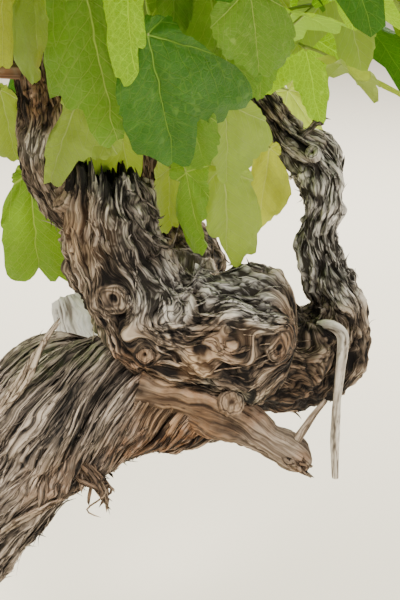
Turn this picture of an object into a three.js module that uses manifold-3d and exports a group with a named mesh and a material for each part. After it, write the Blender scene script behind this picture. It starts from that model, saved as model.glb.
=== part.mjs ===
// An old goblet-trained grapevine in leaf: a leaning trunk with a swollen head, a gnarled fist, five arms,
// a dead spur and four masses of leafy shoots.
// Millimetres, +Z up, +Y to the back, +X to the right. The origin is the middle of the flat cut at the ground.
import * as THREE from "three";
import { mergeVertices } from "three/addons/utils/BufferGeometryUtils.js";
import Module from "manifold-3d";

const wasm = await Module();
wasm.setup();

// Driving dimensions of the wood
const CLEARANCE = 0.3; // gap left between two pieces that meet
const BELOW_GROUND = 30; // how far the trunk is drawn below its flat cut before it is cut
const FLARE_RISE = 34; // how far the root flare stands out at the ground
const FLARE_HEIGHT = 55; // height over which the flare dies away
const FLARE_LOBES = 5;
const FLARE_LOBE_SHARE = 0.4;
const DOME_CROWDING = 0.3; // how far rings draw together towards a rounded end

// Driving dimensions of the shoots and leaves
const LEAF_LENGTH = 118; // a full-grown blade from its stalk to its tip
const LEAF_THICKNESS = 2.2; // at the stalk, falling to nothing at the rim
const INTERNODE = 60; // between leaves at a shoot's foot
const INTERNODE_AT_TIP = 36;
const SHOOT_RADIUS = 5.5;
const SHOOT_TIP_RADIUS = 4;
const SIDE_SHOOT_RADIUS = 2.4;
const STALK_RADIUS = 1.3;
const BELOW_JOINT = 11; // a stalk or side shoot leaves its shoot this far below the joint
const STALK_SHARE = 0.62; // a leaf's stalk beside its blade
const SHOOT_SIDES = 3;
const CELL_MARGIN = 4; // a mass keeps this far inside its own space
const LIMB_MARGIN = 4; // and this far from the wood
const BLADE_CENTRE = 0.06; // where a blade is thickest, from its stalk's end towards its tip
const BLADE_MIDDLE = 0.4;
const LEAF_SPACING = 0.34; // least distance of two blades' middles, beside their length
const LEAF_TURNS = [0, 45, -45, 90, -90, 135, -135, 180]; // round its shoot, in the order they are tried
const LEAF_SWAY = 40;
const LEAF_TILT = [0.15, 0.95]; // how far a blade's tip drops, beside how far it reaches outwards
const LEAF_REACH = 0.75;
const TIP_SHRINK = 0.6; // how much smaller the leaves are at a shoot's tip
const SHOOT_SWAY = 0.16; // most that a shoot turns at a joint
const SHOOT_BOW = 0.28; // most that it bows over at a joint, for a droop of 1
const SIDE_SHOOT_DROOP = 0.8;
const SIDE_SHOOT_CHANCE = 0.33;
const SIDE_SHOOT_LENGTH = 140;
const SIDE_LEAF_SHARE = 0.72; // a side shoot's leaves beside the main ones

// Each limb is a tube along a smooth curve through [x, y, z, radius]. facing is where angle 0 points.
// A lump is [share of the length, angle in degrees, reach in mm, rise in mm], and a dent has a negative rise.
const LIMBS = {
  trunk: {
    colour: 0x6b5a4c,
    facing: [0, -1, 0],
    sides: 20,
    rings: 20,
    domed: 0.12,
    spine: [
      [-1, 0, -BELOW_GROUND, 50],
      [2, 0, 45, 49],
      [16, 1, 120, 46],
      [43, 2, 198, 45],
      [84, 2, 272, 47],
      [131, 1, 334, 53],
      [168, 1, 365, 58],
      [204, 2, 377, 54],
      [246, 2, 383, 46],
      [290, 0, 384, 38],
      [326, -4, 382, 27],
    ],
    lumps: [
      [0.56, 200, 40, 7],
      [0.62, 130, 34, 9],
      [0.3, 250, 45, 5],
      [0.4, 40, 50, 5],
      [0.78, 80, 30, -8],
    ],
  },
  fist: {
    colour: 0x7a6655,
    facing: [0, -1, 0],
    sides: 18,
    rings: 13,
    domed: 0.3,
    spine: [
      [232, -6, 436, 34],
      [262, -8, 440, 43],
      [296, -12, 443, 48],
      [328, -15, 443, 50],
      [366, -17, 436, 44],
    ],
    lumps: [
      [0.86, 100, 18, 7],
      [0.78, 45, 20, 5],
      [0.42, 120, 24, 5],
      [0.66, -50, 20, 6],
      [0.5, 0, 22, -4],
    ],
  },
  arm_left: {
    colour: 0x6f5d4e,
    facing: [0, -1, 0],
    sides: 16,
    rings: 14,
    domed: 0,
    spine: [
      [300, -8, 436, 33],
      [268, -8, 440, 38],
      [246, -6, 457, 37],
      [231, -3, 488, 35],
      [220, -1, 522, 33],
      [216, 0, 552, 31],
      [213, 0, 580, 27],
    ],
    lumps: [
      [0.36, 20, 20, 5],
      [0.82, 200, 22, 7],
      [0.7, 170, 22, 5],
    ],
  },
  spur_left: {
    colour: 0x5f4a3d,
    facing: [0, -1, 0],
    sides: 10,
    rings: 10,
    domed: 0,
    spine: [
      [206, 0, 536, 17],
      [186, -1, 546, 14],
      [173, -2, 563, 11],
      [166, -3, 583, 12],
      [167, -3, 604, 15],
      [171, -3, 626, 18],
      [169, -2, 644, 17],
    ],
    lumps: [[0.8, 90, 12, 5]],
  },
  dead_spur: {
    colour: 0x8a7462,
    facing: [0, -1, 0],
    sides: 12,
    rings: 10,
    domed: 0.06,
    spine: [
      [244, -22, 402, 22],
      [268, -28, 398, 20],
      [296, -33, 392, 18],
      [322, -38, 381, 16],
      [347, -43, 366, 14],
      [378, -48, 346, 14],
    ],
    lumps: [[0.47, 55, 15, 6]],
  },
  dead_twig: {
    colour: 0x8d8078,
    facing: [0, -1, 0],
    sides: 6,
    rings: 5,
    domed: 0,
    spine: [
      [362, -46, 360, 4.2],
      [371, -46, 376, 3.4],
      [380, -45, 390, 2.6],
      [389, -44, 402, 2],
    ],
    lumps: [],
  },
  right_base: {
    colour: 0x6d5a4b,
    facing: [0, -1, 0],
    sides: 14,
    rings: 10,
    domed: 0.28,
    spine: [
      [236, 30, 384, 38],
      [286, 56, 382, 40],
      [334, 82, 379, 42],
      [378, 106, 377, 45],
      [428, 128, 384, 38],
    ],
    lumps: [
      [0.72, -60, 24, 6],
      [0.66, 110, 24, 5],
    ],
  },
  arm_right: {
    colour: 0x695749,
    facing: [0, -1, 0],
    sides: 12,
    rings: 18,
    domed: 0,
    spine: [
      [404, 124, 378, 30],
      [418, 128, 412, 25],
      [407, 131, 447, 20],
      [396, 135, 483, 17],
      [398, 140, 517, 17],
      [396, 145, 547, 20],
      [372, 150, 568, 14],
      [345, 155, 598, 10],
    ],
    lumps: [
      [0.72, 160, 18, 6],
      [0.2, 0, 22, 5],
    ],
  },
  hook: {
    colour: 0xb3a491,
    facing: [0, -1, 0],
    sides: 6,
    rings: 12,
    domed: 0,
    spine: [
      [394, 92, 414, 3.6],
      [404, 80, 417, 4.6],
      [413, 74, 411, 5.4],
      [413, 72, 394, 4.8],
      [410, 74, 352, 3.8],
      [410, 78, 311, 4.2],
      [412, 82, 270, 3],
    ],
    lumps: [],
  },
  arm_back: {
    colour: 0x725d4b,
    facing: [-1, 0, 0],
    sides: 12,
    rings: 14,
    domed: 0,
    spine: [
      [214, 28, 388, 34],
      [240, 90, 394, 32],
      [264, 150, 404, 30],
      [276, 198, 424, 28],
      [262, 216, 458, 20],
      [246, 208, 496, 14],
      [242, 202, 534, 12],
      [244, 197, 572, 10],
    ],
    lumps: [
      [0.42, 90, 22, 7],
      [0.5, -60, 20, 5],
    ],
  },
  back_left: {
    colour: 0xa3978a,
    facing: [0, -1, 0],
    sides: 10,
    rings: 7,
    domed: 0.1,
    spine: [
      [214, 34, 384, 20],
      [198, 58, 400, 18],
      [183, 76, 418, 16],
      [174, 86, 440, 12],
    ],
    lumps: [[0.75, 60, 10, 4]],
  },
  arm_far_left: {
    colour: 0x6a584a,
    facing: [0, -1, 0],
    sides: 12,
    rings: 14,
    domed: 0,
    spine: [
      [104, 10, 296, 40],
      [66, 30, 322, 36],
      [26, 54, 362, 30],
      [-4, 74, 416, 24],
      [-12, 84, 476, 19],
      [-8, 90, 530, 15],
      [-14, 94, 574, 12],
    ],
    lumps: [
      [0.5, 40, 22, 6],
      [0.74, 180, 18, 5],
    ],
  },
};

// Each mass of foliage: its stem goes on from a limb's end, and its space is all that lies nearer to its site,
// seen from above, than to another mass's. Its leaves stay above skirt, which falls towards the back.
// A shoot is [azimuth, elevation, length, droop]: degrees from +X towards +Y, degrees, mm, share.
const SKIRT_SLOPE = 0.2;
const MASSES = {
  foliage_front: {
    colour: 0x6f9a2c,
    seed: 11,
    limb: "spur_left",
    stemLength: 34,
    site: [215, -90],
    skirt: 664,
    shoots: [
      [-40, 50, 420, 0.5],
      [-78, 48, 430, 0.5],
      [-16, 42, 420, 0.4],
      [-24, 6, 190, 0.1],
      [186, 14, 120, 0.2],
      [-70, 78, 480, 0.3],
      [222, 62, 400, 0.5],
    ],
  },
  foliage_right: {
    colour: 0x86a93c,
    seed: 23,
    limb: "arm_right",
    stemLength: 34,
    site: [430, 170],
    skirt: 626,
    shoots: [
      [-38, 48, 420, 0.5],
      [10, 56, 420, 0.6],
      [46, 70, 420, 0.5],
      [-10, 82, 460, 0.3],
    ],
  },
  foliage_back: {
    colour: 0x5d8a28,
    seed: 37,
    limb: "arm_back",
    stemLength: 34,
    site: [215, 300],
    skirt: 592,
    shoots: [
      [88, 50, 430, 0.6],
      [140, 58, 420, 0.6],
      [52, 64, 420, 0.5],
      [110, 82, 500, 0.3],
    ],
  },
  foliage_left: {
    colour: 0x7ba233,
    seed: 51,
    limb: "arm_far_left",
    stemLength: 34,
    site: [-100, 150],
    skirt: 560,
    shoots: [
      [180, 52, 360, 0.6],
      [236, 58, 380, 0.6],
      [120, 56, 400, 0.6],
      [60, 80, 440, 0.3],
    ],
  },
};

// The leaves that hang lowest on the near side: each one's mass, its stalk's end, its tip and where it faces.
const HANGING_LEAVES = [
  ["foliage_front", [210, -105, 750], [233, -135, 630], [-0.15, -0.9, 0.3]],
  ["foliage_front", [184, -140, 759], [174, -150, 675], [-0.75, -0.65, 0.1]],
  ["foliage_front", [162, -60, 737], [139, -70, 667], [0.3, -0.9, 0.3]],
  ["foliage_front", [109, 34, 644], [148, 30, 571], [-0.1, -0.95, 0.3]],
  ["foliage_front", [150, 74, 566], [164, 64, 464], [0.1, -0.97, 0.2]],
  ["foliage_front", [231, -95, 756], [245, -118, 668], [0.8, -0.55, 0.1]],
  ["foliage_front", [227, -62, 655], [172, -58, 575], [-0.2, -0.95, 0.25]],
  ["foliage_front", [256, -150, 709], [280, -128, 606], [0.1, -0.9, 0.45]],
  ["foliage_front", [307, -80, 643], [319, -72, 576], [0.2, -0.9, 0.35]],
  ["foliage_front", [287, -105, 656], [266, -92, 596], [-0.2, -0.9, 0.3]],
  ["foliage_front", [276, -45, 583], [285, -42, 522], [-0.7, -0.6, 0.2]],
  ["foliage_front", [284, 8, 590], [264, 6, 524], [-0.75, -0.6, 0.2]],
  ["foliage_front", [311, -35, 590], [318, -30, 506], [0.3, -0.9, 0.2]],
  ["foliage_front", [274, -70, 765], [271, -92, 692], [0, -0.9, 0.4]],
  ["foliage_front", [313, -40, 755], [310, -55, 674], [0.1, -0.9, 0.4]],
  ["foliage_front", [327, -20, 681], [336, -26, 641], [0.2, -0.9, 0.4]],
  ["foliage_right", [342, 100, 571], [356, 96, 504], [0.1, -0.95, 0.2]],
  ["foliage_right", [370, 70, 674], [391, 60, 598], [0.1, -0.9, 0.4]],
  ["foliage_right", [398, 60, 722], [426, 48, 636], [0.2, -0.9, 0.4]],
  ["foliage_right", [369, 192, 600], [401, 188, 556], [0.1, -0.9, 0.3]],
  ["foliage_right", [340, 58, 712], [345, 50, 640], [-0.1, -0.9, 0.4]],
];

// A leaf blade's outline round its stalk, in blade lengths: [across, along]. The mirror side is added.
const HALF_OUTLINE = [
  [0.0, 1.0],
  [0.58, 0.46],
  [0.46, -0.24],
];
const SINUS = [0, -0.06];
const CUP_ACROSS = 0.16; // how far the sides fall, beside the square of the distance across
const CUP_ALONG = 0.14; // how far the tip falls, beside the square of the distance along

const radians = THREE.MathUtils.degToRad;
const UP = new THREE.Vector3(0, 0, 1);

function solidOf(geometry) {
  const bare = geometry.clone();
  for (const name of Object.keys(bare.attributes)) {
    if (name !== "position") bare.deleteAttribute(name);
  }
  const merged = mergeVertices(bare, 1e-4);
  return new wasm.Manifold(
    new wasm.Mesh({
      numProp: 3,
      vertProperties: new Float32Array(merged.attributes.position.array),
      triVerts: new Uint32Array(merged.index.array),
    }),
  );
}

function geometryOf(solid) {
  const mesh = solid.getMesh();
  return new THREE.BufferGeometry()
    .setAttribute("position", new THREE.BufferAttribute(mesh.vertProperties, 3))
    .setIndex(new THREE.BufferAttribute(mesh.triVerts, 1));
}

// A closed solid from rings of points that run round the same way, and a point at each end.
function loft(rings, first, last) {
  const sides = rings[0].length;
  const points = [first, ...rings.flat(), last];
  const faces = [];
  const at = (ring, side) => 1 + ring * sides + (side % sides);
  for (let side = 0; side < sides; side++) {
    faces.push(0, at(0, side + 1), at(0, side));
    for (let ring = 0; ring + 1 < rings.length; ring++) {
      faces.push(at(ring, side), at(ring, side + 1), at(ring + 1, side + 1));
      faces.push(at(ring, side), at(ring + 1, side + 1), at(ring + 1, side));
    }
    faces.push(at(rings.length - 1, side), at(rings.length - 1, side + 1), points.length - 1);
  }
  return new THREE.BufferGeometry().setFromPoints(points).setIndex(faces);
}

// The smooth curve through a limb's spine, with its radius: a Catmull-Rom curve in x, y, z and radius.
function spineAt(spine, share) {
  const spans = spine.length - 1;
  const span = Math.min(Math.floor(share * spans), spans - 1);
  const t = share * spans - span;
  const p1 = spine[span];
  const p2 = spine[span + 1];
  const before = spine[span - 1] ?? p1.map((value, i) => 2 * value - p2[i]);
  const after = spine[span + 2] ?? p2.map((value, i) => 2 * value - p1[i]);
  const value = (i) =>
    p1[i] +
    0.5 * t * (p2[i] - before[i]) +
    t * t * (before[i] - 2.5 * p1[i] + 2 * p2[i] - 0.5 * after[i]) +
    t * t * t * (1.5 * (p1[i] - p2[i]) + 0.5 * (after[i] - before[i]));
  return { centre: new THREE.Vector3(value(0), value(1), value(2)), radius: value(3) };
}

function spineLength(spine) {
  let length = 0;
  for (let i = 1; i < spine.length; i++) {
    length += new THREE.Vector3(...spine[i]).distanceTo(new THREE.Vector3(...spine[i - 1]));
  }
  return length;
}

// How far the rounded end pulls the radius in, from 1 along the limb to 0 at its tip.
function dome(limb, share) {
  if (!limb.domed || share < 1 - limb.domed) return 1;
  const into = (share - 1 + limb.domed) / limb.domed;
  return Math.sqrt(Math.max(0, 1 - into * into));
}

// The limb's radius at a share of its length and an angle round it.
function limbRadius(limb, length, share, angle, radius, height) {
  let out = radius * (1 + 0.04 * Math.sin(3 * angle + 9 * share) + 0.025 * Math.sin(5 * angle - 14 * share));
  for (const [at, side, reach, rise] of limb.lumps) {
    const turn = Math.atan2(Math.sin(angle - radians(side)), Math.cos(angle - radians(side)));
    const along = (share - at) * length;
    const around = turn * radius;
    out += rise * Math.exp(-(along * along + around * around) / (reach * reach));
  }
  if (limb === LIMBS.trunk) {
    const lobe = 1 + FLARE_LOBE_SHARE * Math.cos(FLARE_LOBES * angle);
    out += FLARE_RISE * lobe * Math.exp(-Math.max(height, 0) / FLARE_HEIGHT);
  }
  return out * dome(limb, share);
}

// A limb as a closed solid, grown outwards by grow.
function limbSolid(limb, grow = 0) {
  const length = spineLength(limb.spine);
  const facing = new THREE.Vector3(...limb.facing);
  const rings = [];
  const last = limb.domed ? limb.rings - 1 : limb.rings;
  for (let ring = 0; ring <= last; ring++) {
    const plain = ring / limb.rings;
    const intoDome = Math.max(0, plain - 1 + limb.domed);
    const share = plain + DOME_CROWDING * intoDome * (1 - plain);
    const { centre, radius } = spineAt(limb.spine, share);
    const ahead = spineAt(limb.spine, Math.min(share + 0.01, 1)).centre;
    const behind = spineAt(limb.spine, Math.max(share - 0.01, 0)).centre;
    const heading = ahead.sub(behind).normalize();
    const front = facing.clone().addScaledVector(heading, -facing.dot(heading)).normalize();
    const side = new THREE.Vector3().crossVectors(heading, front);
    const points = [];
    for (let i = 0; i < limb.sides; i++) {
      const angle = (2 * Math.PI * i) / limb.sides;
      const out = limbRadius(limb, length, share, angle, radius, centre.z) + grow;
      const point = centre.clone().addScaledVector(front, out * Math.cos(angle));
      points.push(point.addScaledVector(side, out * Math.sin(angle)));
    }
    rings.push(points);
  }
  return solidOf(loft(rings, spineAt(limb.spine, 0).centre, spineAt(limb.spine, 1).centre));
}

function largestBody(solid) {
  return solid.decompose().reduce((best, body) => (body.volume() > best.volume() ? body : best));
}

// Each limb is cut clear of the ones before it, which carry it.
function woodSolids() {
  const below = new THREE.BoxGeometry(1000, 1000, 200).translate(0, 0, -100);
  const ground = solidOf(below);
  const solids = {};
  const grown = [];
  for (const [name, limb] of Object.entries(LIMBS)) {
    let solid = limbSolid(limb);
    if (limb === LIMBS.trunk) solid = solid.subtract(ground);
    for (const earlier of grown) solid = solid.subtract(earlier);
    solids[name] = largestBody(solid);
    grown.push(limbSolid(limb, CLEARANCE));
  }
  return solids;
}

// A seeded sequence of numbers from 0 to 1.
function seeded(seed) {
  let state = seed;
  return () => {
    state = (state * 1664525 + 1013904223) % 4294967296;
    return state / 4294967296;
  };
}

const mix = (a, b, t) => a + (b - a) * t;

// How far a point lies inside a mass's space, past every plane that parts it from another mass.
function insideSpace(mass, point) {
  let depth = Infinity;
  for (const other of Object.values(MASSES)) {
    if (other === mass) continue;
    const dx = other.site[0] - mass.site[0];
    const dy = other.site[1] - mass.site[1];
    const fromX = point.x - (mass.site[0] + other.site[0]) / 2;
    const fromY = point.y - (mass.site[1] + other.site[1]) / 2;
    const past = fromX * dx + fromY * dy;
    depth = Math.min(depth, -past / Math.hypot(dx, dy));
  }
  return depth;
}

const LIMB_STEPS = 24;
const limbBeads = Object.values(LIMBS).flatMap((limb) =>
  Array.from({ length: LIMB_STEPS + 1 }, (_, i) => spineAt(limb.spine, i / LIMB_STEPS)),
);

// How far a point is from the nearest wood.
function awayFromWood(point) {
  return Math.min(...limbBeads.map((bead) => bead.centre.distanceTo(point) - bead.radius));
}

function heading(azimuth, elevation) {
  const flat = Math.cos(radians(elevation));
  return new THREE.Vector3(
    flat * Math.cos(radians(azimuth)),
    flat * Math.sin(radians(azimuth)),
    Math.sin(radians(elevation)),
  );
}

// A shoot's joints, from its foot on: it sways a little and bows over towards its tip.
function growShoot(mass, start, towards, length, droop, random) {
  const joints = [{ point: start.clone(), towards: towards.clone(), share: 0 }];
  const point = start.clone();
  const ahead = towards.clone();
  let grown = 0;
  while (grown < length) {
    const share = grown / length;
    const step = mix(INTERNODE, INTERNODE_AT_TIP, share);
    ahead.x += SHOOT_SWAY * (random() - 0.5);
    ahead.y += SHOOT_SWAY * (random() - 0.5);
    ahead.z -= droop * share * SHOOT_BOW;
    ahead.normalize();
    point.addScaledVector(ahead, step);
    grown += step;
    if (insideSpace(mass, point) < 3 * CELL_MARGIN) break;
    joints.push({ point: point.clone(), towards: ahead.clone(), share: Math.min(grown / length, 1) });
  }
  return joints;
}

// A leaf's own axes: along to its tip, across, and out of its upper face.
function leafAxes(along, out) {
  const axis = along.clone().normalize();
  const normal = out.clone().addScaledVector(axis, -out.dot(axis)).normalize();
  return { along: axis, normal, across: new THREE.Vector3().crossVectors(axis, normal) };
}

function leafPoint(leaf, across, along, lift = 0) {
  const fall = CUP_ACROSS * across * across + CUP_ALONG * along * Math.abs(along);
  return leaf.base
    .clone()
    .addScaledVector(leaf.axes.across, across * leaf.length)
    .addScaledVector(leaf.axes.along, along * leaf.length)
    .addScaledVector(leaf.axes.normal, lift - fall * leaf.length);
}

function outlinePoints(leaf) {
  const right = HALF_OUTLINE.map(([across, along]) => leafPoint(leaf, across, along));
  const left = HALF_OUTLINE.slice(1)
    .reverse()
    .map(([across, along]) => leafPoint(leaf, -across, along));
  return [...right, leafPoint(leaf, ...SINUS), ...left];
}

// A blade's faces as triangles round its stalk's end.
function bladeFaces(leaf) {
  const rim = outlinePoints(leaf);
  const middle = leafPoint(leaf, 0, BLADE_CENTRE);
  return rim.map((point, i) => [middle, point, rim[(i + 1) % rim.length]]);
}

// Whether a straight stretch from one point to another goes through one of the faces.
function passesThrough(from, to, faces) {
  const ray = new THREE.Ray(from, to.clone().sub(from).normalize());
  const reach = from.distanceTo(to);
  const met = new THREE.Vector3();
  return faces.some((face) => ray.intersectTriangle(...face, false, met) && met.distanceTo(from) < reach);
}

// The stretches that draw a leaf: its rim, its middle rib and its stalk.
function leafStretches(leaf) {
  const rim = outlinePoints(leaf);
  const edges = rim.map((point, i) => [point, rim[(i + 1) % rim.length]]);
  return [...edges, [leaf.root, leaf.base], [leaf.base, leafPoint(leaf, 0, 1)]];
}

function leavesMeet(leaf, other) {
  return (
    leafStretches(leaf).some(([from, to]) => passesThrough(from, to, bladeFaces(other))) ||
    leafStretches(other).some(([from, to]) => passesThrough(from, to, bladeFaces(leaf)))
  );
}

// A leaf is kept where it stays in its mass's space, off the wood, and clear of the shoots and other leaves.
function leafFits(mass, leaf, leaves, shoots) {
  const middle = leafPoint(leaf, 0, BLADE_MIDDLE);
  const faces = bladeFaces(leaf);
  return (
    [...outlinePoints(leaf), leaf.base, middle].every(
      (point) =>
        insideSpace(mass, point) > CELL_MARGIN &&
        point.z > mass.skirt - SKIRT_SLOPE * point.y &&
        awayFromWood(point) > LIMB_MARGIN,
    ) &&
    leaves.every((other) => {
      const apart = leafPoint(other, 0, BLADE_MIDDLE).distanceTo(middle);
      return apart > LEAF_SPACING * leaf.length && (apart > 2 * LEAF_LENGTH || !leavesMeet(leaf, other));
    }) &&
    shoots.every(({ joints }) =>
      joints.slice(1).every((joint, i) => !passesThrough(joints[i].point, joint.point, faces)),
    )
  );
}

// The leaf at a joint: it stands off to one side of its shoot on its stalk, and its blade hangs outwards.
// Each try turns it further round the shoot.
function growLeaf(mass, joint, side, length, leaves, shoots, random) {
  const flat = new THREE.Vector3().crossVectors(joint.towards, UP);
  flat.normalize().multiplyScalar(side);
  const tilt = mix(...LEAF_TILT, random());
  const sway = LEAF_SWAY * (random() - 0.5);
  for (const turn of LEAF_TURNS) {
    const off = flat.clone().applyAxisAngle(joint.towards, radians(turn + sway));
    const stalk = off.clone().addScaledVector(joint.towards, 0.45).addScaledVector(UP, 0.3).normalize();
    const root = joint.point.clone().addScaledVector(joint.towards, -BELOW_JOINT);
    const base = root.clone().addScaledVector(stalk, STALK_SHARE * length);
    const along = new THREE.Vector3(stalk.x, stalk.y, 0).normalize().multiplyScalar(LEAF_REACH);
    along.z = -tilt;
    const out = UP.clone().addScaledVector(off, 0.7);
    const leaf = { root, base, length, axes: leafAxes(along, out) };
    if (leafFits(mass, leaf, leaves, shoots)) {
      leaves.push(leaf);
      return;
    }
  }
}

// A mass's hanging leaves, each on a stalk from the nearest joint of a shoot.
function hangingLeaves(mass, shoots) {
  const joints = shoots.flatMap((shoot) => shoot.joints);
  return HANGING_LEAVES.filter(([name]) => MASSES[name] === mass).map(([, from, to, facing]) => {
    const base = new THREE.Vector3(...from);
    const tip = new THREE.Vector3(...to);
    const away = (joint) => joint.point.distanceTo(base);
    const nearest = joints.reduce((best, joint) => (away(joint) < away(best) ? joint : best));
    const root = nearest.point.clone().addScaledVector(nearest.towards, -BELOW_JOINT);
    const axes = leafAxes(tip.clone().sub(base), new THREE.Vector3(...facing));
    return { root, base, length: base.distanceTo(tip), axes };
  });
}

// A mass: a stem on the end of its limb, shoots from the stem, side shoots, and a leaf at each joint.
function growMass(mass) {
  const random = seeded(mass.seed);
  const spine = LIMBS[mass.limb].spine;
  const end = spineAt(spine, 1);
  const along = end.centre.clone().sub(spineAt(spine, 0.98).centre).normalize();
  const foot = end.centre.clone().addScaledVector(along, CLEARANCE);
  const top = foot.clone().addScaledVector(along, mass.stemLength);
  const start = top.clone().addScaledVector(along, -0.25 * mass.stemLength);
  const shoots = [];
  for (const [azimuth, elevation, length, droop] of mass.shoots) {
    const joints = growShoot(mass, start, heading(azimuth, elevation), length, droop, random);
    shoots.push({ joints, radius: SHOOT_RADIUS });
    let side = random() < 0.5 ? 1 : -1;
    for (const joint of joints.slice(1, -1)) {
      side = -side;
      if (random() > SIDE_SHOOT_CHANCE) continue;
      const off = new THREE.Vector3().crossVectors(joint.towards, UP).normalize().multiplyScalar(side);
      const towards = off.addScaledVector(joint.towards, 0.8).addScaledVector(UP, 0.3).normalize();
      const from = joint.point.clone().addScaledVector(joint.towards, -BELOW_JOINT);
      const sideJoints = growShoot(mass, from, towards, SIDE_SHOOT_LENGTH, SIDE_SHOOT_DROOP, random);
      if (sideJoints.length > 1) shoots.push({ joints: sideJoints, radius: SIDE_SHOOT_RADIUS });
    }
  }
  const leaves = hangingLeaves(mass, shoots);
  for (const { joints, radius } of shoots) {
    const full = radius === SHOOT_RADIUS ? 1 : SIDE_LEAF_SHARE;
    let side = random() < 0.5 ? 1 : -1;
    for (const joint of joints.slice(1)) {
      const size = LEAF_LENGTH * full * (1 - TIP_SHRINK * joint.share ** 2) * mix(0.86, 1.1, random());
      growLeaf(mass, joint, side, size, leaves, shoots, random);
      side = -side;
    }
  }
  return { foot, top, stemRadius: end.radius * 0.8, shoots, leaves };
}

// A tube along a few joints, with few sides.
function twigSolid(points, radii, sides) {
  const rings = points.map((point, i) => {
    const before = points[Math.max(i - 1, 0)];
    const after = points[Math.min(i + 1, points.length - 1)];
    const ahead = after.clone().sub(before).normalize();
    const seen = Math.abs(ahead.z) < 0.9 ? UP : new THREE.Vector3(1, 0, 0);
    const front = seen.clone().addScaledVector(ahead, -seen.dot(ahead)).normalize();
    const side = new THREE.Vector3().crossVectors(ahead, front);
    return Array.from({ length: sides }, (_, k) => {
      const angle = (2 * Math.PI * k) / sides;
      return point
        .clone()
        .addScaledVector(front, radii[i] * Math.cos(angle))
        .addScaledVector(side, radii[i] * Math.sin(angle));
    });
  });
  return solidOf(loft(rings, points[0].clone(), points[points.length - 1].clone()));
}

// A leaf as one closed solid: a thin lens inside its outline, whose underside runs on into a three-sided stalk.
function leafSolid(leaf) {
  const rim = outlinePoints(leaf);
  const crown = leafPoint(leaf, 0, BLADE_CENTRE, LEAF_THICKNESS / 2);
  const neck = leafPoint(leaf, 0, BLADE_CENTRE, -LEAF_THICKNESS / 2);
  const stalk = leaf.root.clone().sub(neck).normalize();
  const level = leaf.axes.across.clone().addScaledVector(stalk, -leaf.axes.across.dot(stalk)).normalize();
  const upright = new THREE.Vector3().crossVectors(level, stalk);
  const ring = (middle, sideways, lengthways) =>
    Array.from({ length: SHOOT_SIDES }, (_, i) => {
      const angle = (2 * Math.PI * (i + 0.5)) / SHOOT_SIDES;
      return middle
        .clone()
        .addScaledVector(sideways, STALK_RADIUS * Math.sin(angle))
        .addScaledVector(lengthways, STALK_RADIUS * Math.cos(angle));
    });
  const atBlade = ring(neck, leaf.axes.across, leaf.axes.along);
  const points = [...rim, ...atBlade, ...ring(leaf.root, level, upright), crown];
  const faces = [];
  const atNeck = (i) => rim.length + (i % SHOOT_SIDES);
  const atRoot = (i) => rim.length + SHOOT_SIDES + (i % SHOOT_SIDES);
  for (let i = 0; i < rim.length; i++) {
    const next = (i + 1) % rim.length;
    const corner = Math.floor((SHOOT_SIDES * i) / rim.length);
    const nextCorner = Math.floor((SHOOT_SIDES * (i + 1)) / rim.length);
    faces.push(points.length - 1, next, i);
    faces.push(atNeck(corner), i, next);
    if (nextCorner > corner) faces.push(atNeck(corner), next, atNeck(nextCorner));
  }
  for (let i = 0; i < SHOOT_SIDES; i++) {
    faces.push(atNeck(i), atNeck(i + 1), atRoot(i + 1));
    faces.push(atNeck(i), atRoot(i + 1), atRoot(i));
  }
  for (let i = 1; i + 1 < SHOOT_SIDES; i++) faces.push(atRoot(0), atRoot(i), atRoot(i + 1));
  return solidOf(new THREE.BufferGeometry().setFromPoints(points).setIndex(faces));
}

function massSolid(grown) {
  const pieces = [];
  pieces.push(twigSolid([grown.foot, grown.top], [grown.stemRadius, grown.stemRadius * 0.8], 8));
  for (const shoot of grown.shoots) {
    const points = shoot.joints.map((joint) => joint.point);
    const tipRadius = Math.min(shoot.radius, SHOOT_TIP_RADIUS);
    const radii = shoot.joints.map((joint) => mix(shoot.radius, tipRadius, joint.share));
    pieces.push(twigSolid(points, radii, SHOOT_SIDES));
  }
  pieces.push(...grown.leaves.map(leafSolid));
  return largestBody(wasm.Manifold.union(pieces));
}

function node(name, solid, colour, roughness) {
  const material = new THREE.MeshStandardMaterial({ color: colour, roughness, metalness: 0 });
  const mesh = new THREE.Mesh(geometryOf(solid), material);
  mesh.name = name;
  return mesh;
}

const vine = new THREE.Group();
const wood = woodSolids();
for (const [name, solid] of Object.entries(wood)) {
  vine.add(node(name, solid, LIMBS[name].colour, 0.9));
}
for (const [name, mass] of Object.entries(MASSES)) {
  vine.add(node(name, massSolid(growMass(mass)), mass.colour, 0.6));
}

export default vine;
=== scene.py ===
"""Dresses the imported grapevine: barked trunk and arms, grey dead wood, and leafy shoots in summer green.

Shapes are worked out in millimetres in the part's frame, with +Z up, and written to Blender in metres.
"""

import logging
from dataclasses import dataclass, replace
from enum import Enum

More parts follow.
